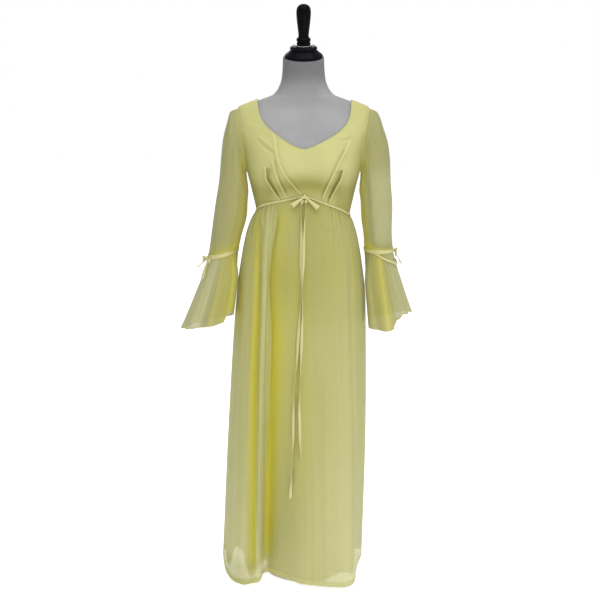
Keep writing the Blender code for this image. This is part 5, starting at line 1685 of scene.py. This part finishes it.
def waist_ribbon_column(u):
    """A band over the empire seam, one turn from the zip, on both panels' points moved out."""
    if 0.25 <= u <= 0.75:
        angle = (u - 0.5) * math.tau
        upper = bodice_front_column(u * 2 - 0.5)
        lower = skirt_front_column(turn_of_seam(math.degrees(angle)), fine=False)
        names = ("bodice_front", "skirt_front")
        away = Vector((math.sin(angle), -math.cos(angle), 0.0))
    else:
        side, turn = (-1, 1 - u * 4) if u < 0.25 else (1, (u - 0.75) * 4)
        upper = bodice_back_column(min(turn, 0.74), side)
        lower = skirt_back_column(turn, side, fine=False)
        names = ("bodice_back", "skirt_back")
        angle = turn * math.pi / 2
        away = Vector((side * math.cos(angle), math.sin(angle), 0.0))

    def place(v):
        run = (v - 0.5) * WAIST_RIBBON_WIDTH
        if run < 0 and 0.25 <= u <= 0.75:
            point = upper(-run / PANEL_RUN[names[0]])
        elif run < 0:
            z = seam_height_back(turn, side) - run
            x = side * half_width(z) * arc_power(math.cos(turn * math.pi / 2))
            point = torso_point(angle_of(x, z), z, 1)
        else:
            point = lower(run / PANEL_RUN[names[1]])
        lift = RIBBON_CLEAR + 0.0003 * uneven(u * 90, v * 2, 4.0)
        return point + away * lift
    return place


def sleeve_ribbon_column(u, side):
    sign = SIDES[side]
    lower = flounce_column(u, side)

    def place(v):
        run = (v - 0.5) * RIBBON_WIDTH
        if run < 0:
            point = sleeve(u, 1 + run / PANEL_RUN["sleeve"], side)
        else:
            point = lower(run / PANEL_RUN["flounce"])
        away = (point - Vector((sign * SLEEVE_MIDDLE, 0.0, point.z))).normalized()
        return point + away * SLEEVE_RIBBON_CLEAR
    return place


Loop = namedtuple("Loop", "reach across")
WAIST_KNOT = Vector((0.003, -0.0069, 1.1520))
WAIST_LOOPS = rows_of(Loop, (
    (Vector((-0.035, -0.009, -0.025)), Vector((-0.6, 0.0, 0.8))),
    (Vector((0.037, -0.009, -0.031)), Vector((0.68, 0.0, 0.73))),
))
Reach = namedtuple("Reach", "along out down")
SLEEVE_LOOPS = rows_of(Reach, (
    (0.02, 0.004, 0.006), (-0.018, 0.004, 0.004),
))
SLEEVE_TAILS = {
    "left": rows_of(Reach, (
        (-0.012, 1.0, 0.027), (0.012, 0.44, 0.058),
    )),
    "right": rows_of(Reach, (
        (0.006, 0.46, 0.036), (-0.02, 0.46, 0.044),
    )),
}
SLEEVE_KNOT_TURN = {"left": 0.07, "right": 0.015}
SLEEVE_KNOT_FACING = {"left": 0.6435, "right": 0.10}
SLACK_TURN = 0.54
SLACK_START = 0.31
SLACK_DROP = 0.040
SLEEVE_KNOT_OUT = 0.0041
LOOP_FAT = 0.0026
LOOP_ROOT = 0.0009
KNOT_THICK = 0.0036
STREAMER_CLEAR = 0.0034
STREAMER_STEPS = 260
STREAMER_LEAN = 1.00
STREAMER_TWIST = 0.56
STREAMER_TURNS = 25.0
STREAMER_PHASE = 4.7
STREAMER_FLAT_END = {"left": 0.6, "right": 0.0}
STREAMER_SLANT = 0.0035
CROSSING_OUT = 0.0055
CROSSING_Z = 0.93
CROSSING_SPREAD = 0.09
FLAT_STRETCH = (0.44, 0.74)


def loop_path(knot, reach, facing, fat):
    """Out from the knot, round a soft end and back, open by fat each way."""
    length = reach.length
    along = reach / length
    path = []
    for i in range(9):
        t = i / 8
        rise = (LOOP_ROOT + (fat - LOOP_ROOT) * ease(t))
        path.append(knot + along * (length - fat) * t + facing * rise)
    for i in range(1, 9):
        angle = math.pi * (0.5 - i / 8)
        far = length - fat + fat * math.cos(angle)
        path.append(knot + along * far + facing * fat * math.sin(angle))
    for i in range(1, 9):
        t = 1 - i / 8
        rise = (LOOP_ROOT + (fat - LOOP_ROOT) * ease(t))
        path.append(knot + along * (length - fat) * t - facing * rise)
    return path


def loop_width(t):
    """A loop is pinched where it leaves the knot, at both of its ends."""
    near = min(t, 1 - t) * 2
    return RIBBON_WIDTH * (0.40 + 1.45 * min(1.0, near / 0.95))


def tail_width(t):
    return RIBBON_WIDTH * (0.55 + 0.40 * ease(t / 0.4))


def knot_mesh(name, knot, facing, width):
    """The knot: a short pinched wrap, rounded on all sides."""
    bm = bmesh.new()
    bmesh.ops.create_uvsphere(bm, u_segments=28, v_segments=18, radius=1.0)
    for vert in bm.verts:
        x, y, z = vert.co
        pinch = 1 - 0.20 * bell(z, 0.0, 0.35)
        crease = 1 - 0.06 * math.cos(9 * x)
        vert.co = Vector((x * pinch, y * crease, z))
    turn = facing.to_track_quat("Y", "Z").to_matrix().to_4x4()
    size = Matrix.Diagonal((width * 0.40, KNOT_THICK, width * 0.60, 1.0))
    bmesh.ops.transform(bm, matrix=Matrix.Translation(knot) @ turn @ size, verts=bm.verts)
    mesh = bpy.data.meshes.new(name)
    uv = bm.loops.layers.uv.new("UVMap")
    for face in bm.faces:
        for corner in face.loops:
            away = corner.vert.co - knot
            corner[uv].uv = (away.z, away.x + away.y)
    bm.to_mesh(mesh)
    bm.free()
    return mesh


def bow(name, knot, loops, tails, facing, replaced):
    facing = facing.normalized()
    strips = []
    for loop in loops:
        path = loop_path(knot, loop.reach, facing, LOOP_FAT)
        strips.append(ribbon_strip(path, [loop.across] * len(path), loop_width, 0.0008))
    for path, across in tails:
        strips.append(ribbon_strip(path, across, tail_width, 0.0006))
    loops_piece = new_piece(name + "_loops", strips_mesh(name + "_loops", strips), ribbon, replaced)
    walled(loops_piece, RIBBON_WALL, 0.0)
    knot_piece = new_piece(name + "_knot", knot_mesh(name + "_knot", knot, facing, RIBBON_WIDTH), ribbon)
    return loops_piece, knot_piece


front_columns = {}


def front_at(x, z):
    """The skirt front's point at a width and a height, on its flat middle stretch."""
    low, high = FLAT_STRETCH
    point = None
    for _ in range(16):
        u = (low + high) / 2
        if u not in front_columns:
            front_columns[u] = skirt_front_column(u, fine=False)
        angle = math.radians(front_folds["seam"](u))
        top = seam_height(arc_power(math.sin(angle)))
        point = front_columns[u]((top - z) / (top - HEM))
        if point.x < x:
            low = u
        else:
            high = u
    return point


def make_waist_trim():
    mesh, cut = panel_mesh("waist_ribbon_satin", 300, even_rows(8),
                           narrowed(waist_ribbon_column, RIBBON_LEFT_OFF, 1 - RIBBON_LEFT_OFF),
                           body_axis)
    band = walled(new_piece("waist_ribbon_satin", mesh, ribbon, ["waist_ribbon"]), RIBBON_WALL)
    facing = Vector((0.0, -1.0, 0.12))
    knot = WAIST_KNOT + Vector((0.0, torso_point(0.0, seam_height(0.0), -1).y, 0.0))
    extras = bow("waist_bow", knot, WAIST_LOOPS, (), facing, ["waist_bow"])
    declare((cut[0], RIBBON_WIDTH, cut[2]))


def make_streamers():
    """The two long ends hang from the knot, turn on their way and are cut on a slant."""
    for side, hangs in STREAMERS.items():
        sign = SIDES[side]
        x_at = curve([-h.height for h in hangs], [h.x for h in hangs])
        points, across = [], []
        for i in range(STREAMER_STEPS + 1):
            part = i / STREAMER_STEPS
            z = hangs[0].height + (hangs[-1].height - hangs[0].height) * part
            swing = STREAMER_TWIST * math.sin(sign * STREAMER_PHASE + STREAMER_TURNS * (1 - z))
            twist = sign * STREAMER_LEAN + swing
            twist = (twist + 0.25 * uneven(z * 18, sign, 0.0)) * ease(part * 45)
            twist *= 1 - STREAMER_FLAT_END[side] * ease(part * 8 - 7)
            out = STREAMER_CLEAR + RIBBON_WIDTH / 2 * abs(math.sin(twist))
            if sign > 0:
                out += CROSSING_OUT * bell(z, CROSSING_Z, CROSSING_SPREAD)
            x = x_at(-z) + 0.0008 * uneven(z * 14, sign, 3.0) * ease(part * 4)
            points.append(Vector((x, front_at(x, z).y - out, z)))
            across.append(Vector((math.cos(twist), math.sin(twist), 0.0)))
        name = "streamer_" + side
        verts, faces, spread = ribbon_strip(points, across, lambda t: RIBBON_WIDTH, 0.0004)
        for k, slant in ((-3, sign), (-1, -sign)):
            verts[k] = verts[k] + Vector((0.0, 0.0, slant * STREAMER_SLANT))
        mesh = strips_mesh(name, [(verts, faces, spread)])
        piece = walled(new_piece(name, mesh, ribbon, ["waist_streamer_" + side]), RIBBON_WALL, 0.0)
        length = lengths_along(points)[-1]
        declare((RIBBON_WIDTH, length, RIBBON_WIDTH * length))


def slack_turn(side):
    """A second turn of the ribbon that has slipped down the flounce on the outside."""
    sign = SIDES[side]
    path, across = [], []
    for i in range(73):
        t = i / 72
        column = flounce_column((SLACK_START - SLACK_TURN * t) % 1.0, side)
        drop = 0.004 + SLACK_DROP * math.sin(math.pi * t) ** 1.5
        s = drop / PANEL_RUN["flounce"]
        point = column(s)
        away = (point - Vector((sign * SLEEVE_MIDDLE, 0.0, point.z))).normalized()
        path.append(point + away * 0.0036)
        across.append(column(s) - column(s + 0.04))
    return path, across


def make_sleeve_trim():
    for side, sign in SIDES.items():
        mesh, cut = panel_mesh("sleeve_ribbon_" + side + "_satin", 160, even_rows(8),
                               lambda u, side=side: sleeve_ribbon_column(u, side),
                               sleeve_axis(side), True)
        band = walled(new_piece(mesh.name, mesh, ribbon, ["sleeve_ribbon_" + side]), RIBBON_WALL)
        facing = SLEEVE_KNOT_FACING[side]
        out = Vector((sign * math.cos(facing), -math.sin(facing), 0.0))
        along = Vector((-sign * math.sin(facing), -math.cos(facing), 0.0))
        down = Vector((0.0, 0.0, -1.0))
        knot = sleeve_ribbon_column(SLEEVE_KNOT_TURN[side], side)(0.5) + out * SLEEVE_KNOT_OUT
        loops = [Loop(along * r.along + out * r.out + down * r.down, -down) for r in SLEEVE_LOOPS]
        tails = []
        for r in SLEEVE_TAILS[side]:
            path, across = [], []
            for i in range(25):
                t = i / 24
                drop = r.down * t
                curl = 0.5 * math.sin(4.2 * t + r.along * 90)
                path.append(knot + along * r.along * t + out * (r.out * drop * ease(t * 2)) + down * drop)
                across.append(along * math.cos(curl * t) + out * math.sin(curl * t))
            tails.append((path, across))
        if side == "right":
            tails.append(slack_turn(side))
        extras = bow("sleeve_bow_" + side, knot, loops, tails, out, ["sleeve_bow_" + side])
        declare(cut)


# The zip

def zip_skin(z):
    """How far back the centre back line lies at a height, on bodice and skirt."""
    if z >= SEAM_BACK:
        return torso_point(0.0, z, 1).y
    return skirt_back_column(1.0, 1, fine=False)((SEAM_BACK - z) / (SEAM_BACK - HEM)).y


TOOTH_PITCH = 0.0017
TOOTH = (0.0011, 0.0004, 0.00042)
COIL_OUT = 0.0006
COIL_APART = 0.00055
ZIP_TAPE_WALL = 0.0009
JITTER_SEED = 7


def repeat_group():
    """Copies of a small piece along a line, each turned to the line and to its outward side."""
    tree = bpy.data.node_groups.new("repeat along a line", "GeometryNodeTree")
    for label, kind in (("Line", "Geometry"), ("Pitch", "Float"), ("Piece", "Object"),
                        ("Finish", "Material"), ("Uneven", "Float")):
        tree.interface.new_socket(label, in_out="INPUT", socket_type="NodeSocket" + kind)
    tree.interface.new_socket("Pieces", in_out="OUTPUT", socket_type="NodeSocketGeometry")
    given = tree.nodes.new("NodeGroupInput").outputs
    line = add_node(tree, "GeometryNodeMeshToCurve", Mesh=given["Line"])
    spaced = add_node(tree, "GeometryNodeResampleCurve", {"mode": "LENGTH"},
                      Curve=line.outputs["Curve"], Length=given["Pitch"])
    tangent = tree.nodes.new("GeometryNodeInputTangent").outputs["Tangent"]
    outward = add_node(tree, "GeometryNodeInputNamedAttribute", {"data_type": "FLOAT_VECTOR"},
                       Name="outward")
    along = add_node(tree, "FunctionNodeAlignRotationToVector", {"axis": "X"}, Vector=tangent)
    facing = add_node(tree, "FunctionNodeAlignRotationToVector", {"axis": "Z", "pivot_axis": "X"},
                      Rotation=along.outputs["Rotation"], Vector=outward.outputs["Attribute"])
    piece = add_node(tree, "GeometryNodeObjectInfo", Object=given["Piece"])
    jitter = add_node(tree, "FunctionNodeRandomValue", {"data_type": "FLOAT"}, Seed=JITTER_SEED)
    for k, operation in ((2, "SUBTRACT"), (3, "ADD")):
        feed(tree, jitter.inputs[k], math_node(tree, operation, 1.0, given["Uneven"]))
    copies = add_node(tree, "GeometryNodeInstanceOnPoints", Points=spaced.outputs["Curve"],
                      Instance=piece.outputs["Geometry"], Rotation=facing.outputs["Rotation"],
                      Scale=jitter.outputs[1])
    real = add_node(tree, "GeometryNodeRealizeInstances", Geometry=copies.outputs["Instances"])
    finished = add_node(tree, "GeometryNodeSetMaterial", Geometry=real.outputs["Geometry"],
                        Material=given["Finish"])
    add_node(tree, "NodeGroupOutput", Pieces=finished.outputs["Geometry"])
    return tree


repeat_tree = repeat_group()


def repeated(name, path, outward, piece_mesh, pitch, material, uneven_share=0.0, closed=False):
    """A plain mesh of copies of a small piece along a line."""
    mesh = bpy.data.meshes.new(name + "_line")
    edges = [(i, i + 1) for i in range(len(path) - 1)]
    if closed:
        edges.append((len(path) - 1, 0))
    mesh.from_pydata(path, edges, [])
    facing = mesh.attributes.new("outward", "FLOAT_VECTOR", "POINT")
    facing.data.foreach_set("vector", [c for way in outward for c in way])
    obj = in_scene(name + "_line", mesh)
    small = in_scene(name + "_piece", piece_mesh)
    modifier = obj.modifiers.new("repeat", "NODES")
    modifier.node_group = repeat_tree
    for key, value in (("Pitch", pitch), ("Piece", small), ("Finish", material), ("Uneven", uneven_share)):
        socket = next(s for s in repeat_tree.interface.items_tree if s.name == key)
        modifier[socket.identifier] = value
    obj.update_tag()
    bpy.context.view_layer.update()
    graph = bpy.context.evaluated_depsgraph_get()
    result = bpy.data.meshes.new_from_object(obj.evaluated_get(graph))
    obj.modifiers.remove(modifier)
    bpy.data.objects.remove(obj)
    bpy.data.objects.remove(small)
    result.name = name
    result.materials.clear()
    return result


def pod_mesh(name, length, width, height, sides=6):
    """A small rounded pod lying along X: a stitch or a coil tooth."""
    bm = bmesh.new()
    bmesh.ops.create_uvsphere(bm, u_segments=sides, v_segments=5, radius=1.0)
    turn = Matrix.Rotation(math.pi / 2, 4, "Y")
    size = Matrix.Diagonal((length / 2, width / 2, height / 2, 1.0))
    bmesh.ops.transform(bm, matrix=size @ turn, verts=bm.verts)
    mesh = bpy.data.meshes.new(name)
    bm.to_mesh(mesh)
    bm.free()
    return mesh


def make_zip():
    steps = 120
    levels = [ZIP_END + 0.001 + (ZIP_TOP - ZIP_END) * i / steps for i in range(steps + 1)]
    spine = [Vector((0.0, zip_skin(z), z)) for z in levels]
    verts, faces, spread = [], [], []
    for point in spine:
        for k in range(5):
            aside = (k - 2) / 2 * ZIP_HALF
            verts.append(point + Vector((aside, -0.0002 * abs(k - 2), 0.0)))
    for i in range(steps):
        for k in range(4):
            a = i * 5 + k
            faces.append((a, a + 5, a + 6, a + 1))
            low, high = levels[i], levels[i + 1]
            left, right = (k - 2) / 2 * ZIP_HALF, (k - 1) / 2 * ZIP_HALF
            spread += (left, low, left, high, right, high, right, low)
    mesh = strips_mesh("zip_tape", [(verts, faces, spread)])
    if mesh.polygons[0].normal.y < 0:
        mesh.flip_normals()
    walled(new_piece("zip_tape", mesh, zip_nylon, ["zip_chain"]), ZIP_TAPE_WALL)
    for side in (-1, 1):
        path, ways = [], []
        for point in spine:
            path.append(point + Vector((side * COIL_APART, COIL_OUT, side * TOOTH_PITCH / 4)))
            ways.append(Vector((0.0, 1.0, 0.0)))
        tooth = pod_mesh("tooth", TOOTH[1] * 1.7, TOOTH[0] * 1.9, TOOTH[2] * 2)
        name = "zip_coil_" + ("left" if side < 0 else "right")
        coil = repeated(name, path, ways, tooth, TOOTH_PITCH / 2, zip_nylon)
        new_piece(name, coil, zip_nylon)


# Stitching

STITCH = (0.0021, 0.00042, 0.00034)
STITCH_PITCH = 0.0031
STITCH_PROUD = 0.00008
FLOUNCE_HEM_BAND = 0.0042


def hem_line(columns, column_at, up, closed):
    """The line of a hem's stitches, that far above its edge, with the outward side."""
    path, ways = [], []
    count = columns if closed else columns + 1
    grid = [column_at(i / columns) for i in range(count)]
    length = (grid[0](1.0) - grid[0](0.9)).length * 10
    for i, place in enumerate(grid):
        point = place(1 - up / length)
        ahead = grid[(i + 1) % count](1 - up / length) - point if i + 1 < count or closed else None
        if ahead is None:
            ahead = point - grid[i - 1](1 - up / length)
        drop = place(1.0) - point
        way = ahead.cross(drop).normalized()
        path.append(point)
        ways.append(way)
    return path, ways


def stitched(name, path, ways, inside, material, closed=False):
    """A row of stitches lying on the cloth."""
    facing = sum(way.dot(point - inside(point)) for point, way in zip(path, ways))
    if facing < 0:
        ways = [-way for way in ways]
    path = [point + way * STITCH_PROUD for point, way in zip(path, ways)]
    mesh = repeated(name, path, ways, pod_mesh("stitch", *STITCH), STITCH_PITCH, material, 0.12, closed)
    return new_piece(name, mesh, material)


def make_stitches():
    up = SKIRT_HEM_BAND - 0.001
    front = narrowed(skirt_front_column, SEAM_TURN, 1 - SEAM_TURN)
    path, ways = hem_line(300, front, up, False)
    stitched("skirt_front_hem_stitches", path, ways, body_axis, thread)
    for side, name in ((-1, "left"), (1, "right")):
        path, ways = hem_line(120, from_side_seam(zipped_skirt_column, side), up, False)
        stitched("skirt_back_" + name + "_hem_stitches", path, ways, body_axis, thread)
    for side in ("left", "right"):
        path, ways = hem_line(240, lambda u, side=side: flounce_column(u, side), FLOUNCE_HEM_BAND, True)
        stitched("flounce_" + side + "_hem_stitches", path, ways, sleeve_axis(side), thread, True)


# The dress form

PLEAT_ROOM = 0.0055


def form_clearance(z):
    """How far the form lies inside the dress: less on the neck, more at the waist."""
    clear = FORM_CLEAR - NECK_SLACK * ramp(z, 1.425, 0.02)
    clear += WAIST_SLACK * ramp(z, 1.06, -0.10) * ramp(z, 0.80, 0.01)
    clear += PLEAT_ROOM * ramp(z, 1.275, -0.03) * ramp(z, 1.08, 0.04)
    foot = min(1.0, max(0.0, (TORSO_END + FOOT_ROUND - z) / FOOT_ROUND))
    return clear + FOOT_ROUND * (1 - math.sqrt(1 - foot * foot))


def form_column(u):
    """The torso by height, one turn from the centre front, slanting to the neck's top."""
    turn = math.tau * u
    facing = -1 if math.cos(turn) >= 0 else 1
    angle = math.asin(max(-1.0, min(1.0, math.sin(turn))))

    def place(v):
        z = TORSO_END + (NECK_TOP - TORSO_END) * v
        shoulder = FORM_DROP * ramp(z, 1.33, 0.04) * ramp(z, 1.445, -0.03)
        point = torso_point(angle, z + shoulder, facing, form_clearance(z))
        tuck = ramp(z, 1.500, 0.036)
        tuck *= 0.0007 * math.cos(46 * turn + 5 * uneven_round(turn, 3, 1.0))
        point.x += tuck * math.sin(turn)
        point.y -= tuck * math.cos(turn)
        point.z = z + math.tan(NECK_TILT) * point.y * ease((z - 1.44) / (NECK_TOP - 1.44))
        return point
    return place


def make_form():
    rows = even_rows(8, 0.0, 0.014)[:-1] + even_rows(70, 0.014, 0.78)[:-1] + even_rows(60, 0.78, 1.0)
    # Painted shade on the neck, darker towards its top
    mesh, _ = panel_mesh("form_body_jersey", 140, rows, form_column, body_axis, closed=True,
                         dye=lambda u, point: (0.75 * ramp(point.z, 1.415, 0.085), 0.0))
    bm = bmesh.new()
    bm.from_mesh(mesh)
    bmesh.ops.holes_fill(bm, edges=[e for e in bm.edges if e.is_boundary], sides=0)
    bmesh.ops.recalc_face_normals(bm, faces=bm.faces)
    bm.to_mesh(mesh)
    bm.free()
    new_piece("form_body_jersey", mesh, jersey, ["form_body"])
    neck = Matrix.Translation((0, 0, NECK_TOP)) @ Matrix.Rotation(NECK_TILT, 4, "X")
    pole_top, pole_foot = TORSO_END - POLE_GAP, BASE[0].height + POLE_GAP
    pole = rows_of(Turn, ((0.0, pole_top), (POLE_RADIUS, pole_top), (POLE_RADIUS, pole_foot),
                          (0.0, pole_foot)))
    for name, profile, material, lift in (
            ("form_cap", CAP, black_lacquer, neck), ("form_washer", WASHER, steel, neck),
            ("form_handle", HANDLE, black_lacquer, neck), ("form_base", BASE, base_paint, None),
            ("form_pole", pole, steel, None)):
        mesh = turned_mesh(name + "_turned", profile, 96, lift)
        piece = new_piece(mesh.name, mesh, material, [name])
        piece.data.set_sharp_from_angle(angle=math.radians(38))


# Light, floor and camera

FLOOR_REACH = 14.0
FLOOR_GLOW = 0.40
FLOOR_BOUNCE = 0.42
SKY_SIDE = 0.35
SKY_TOP = 0.55
# The lamps: square, hidden from the camera
Lamp = namedtuple("Lamp", "name size power place aim")
LAMPS = rows_of(Lamp, (
    ("key light", 2.6, 50.0, Vector((0.40, -1.15, 3.7)), Vector((0.0, 0.0, 0.95))),
    ("low fill", 1.0, 4.6, Vector((0.60, -1.75, 0.28)), Vector((0.0, 0.0, 0.28))),
    ("back fill", 1.8, 20.0, Vector((-0.5, 2.3, 2.0)), Vector((0.0, 0.0, 0.95))),
))


def make_floor():
    corners = ((-1, -1), (1, -1), (1, 1), (-1, 1))
    ends = [(x * FLOOR_REACH, y * FLOOR_REACH, 0.0) for x, y in corners]
    mesh = mesh_of("floor", ends, [(0, 1, 2, 3)])
    material = bpy.data.materials.new("white_floor")
    material.use_nodes = True
    tree = material.node_tree
    seen = tree.nodes.new("ShaderNodeLightPath").outputs["Is Camera Ray"]
    feed_named(tree, tree.nodes["Principled BSDF"].inputs, {
        "Base Color": (0.80, 0.80, 0.80, 1.0), "Roughness": 0.9, "Specular IOR Level": 0.0,
        "Emission Color": (1.0, 1.0, 1.0, 1.0),
        "Emission Strength": math_node(tree, "MULTIPLY_ADD", seen, FLOOR_GLOW, FLOOR_BOUNCE)})
    mesh.materials.append(material)
    floor = in_scene("floor", mesh)


def make_light():
    world = bpy.data.worlds.new("white studio")
    bpy.context.scene.world = world
    world.use_nodes = True
    tree = world.node_tree
    seen = tree.nodes.new("ShaderNodeLightPath").outputs["Is Camera Ray"]
    way = tree.nodes.new("ShaderNodeTexCoord").outputs["Generated"]
    upwards = add_node(tree, "ShaderNodeSeparateXYZ", Vector=way).outputs["Z"]
    sky = spanned(tree, upwards, To_Min=SKY_SIDE, To_Max=SKY_TOP)
    feed_named(tree, tree.nodes["Background"].inputs, {
        "Color": (1.0, 1.0, 1.0, 1.0), "Strength": math_node(tree, "MAXIMUM", sky, seen)})
    for lamp in LAMPS:
        data = bpy.data.lights.new(lamp.name, "AREA")
        data.shape = "SQUARE"
        data.size = lamp.size
        data.energy = lamp.power
        holder = in_scene(lamp.name, data)
        holder.location = lamp.place
        holder.rotation_euler = (lamp.aim - lamp.place).to_track_quat("-Z", "Y").to_euler()
        holder.visible_camera = False


def make_camera():
    data = bpy.data.cameras.new("camera")
    data.sensor_width = SENSOR
    data.lens = FOCAL_PIXELS / FRAME_PIXELS * SENSOR
    camera = in_scene("camera", data)
    camera.location = CAMERA_PLACE
    camera.rotation_euler = (CAMERA_TILT, 0.0, 0.0)
    bpy.context.scene.camera = camera


def carry_zip_hardware():
    """The slider and its pull keep their solids and get their finish."""
    for name in ("zip_slider", "zip_pull"):
        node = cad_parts[name]
        node.data.materials.clear()
        node.data.materials.append(zip_metal)


make_bodice()
make_shoulder_seams()
make_neck_edge()
make_skirt()
make_sleeves()
make_waist_trim()
make_streamers()
make_sleeve_trim()
make_zip()
make_stitches()
make_form()
carry_zip_hardware()
make_floor()
make_light()
make_camera()
scene = bpy.context.scene
scene.view_settings.view_transform = "Standard"
scene.cycles.transparent_max_bounces = 32
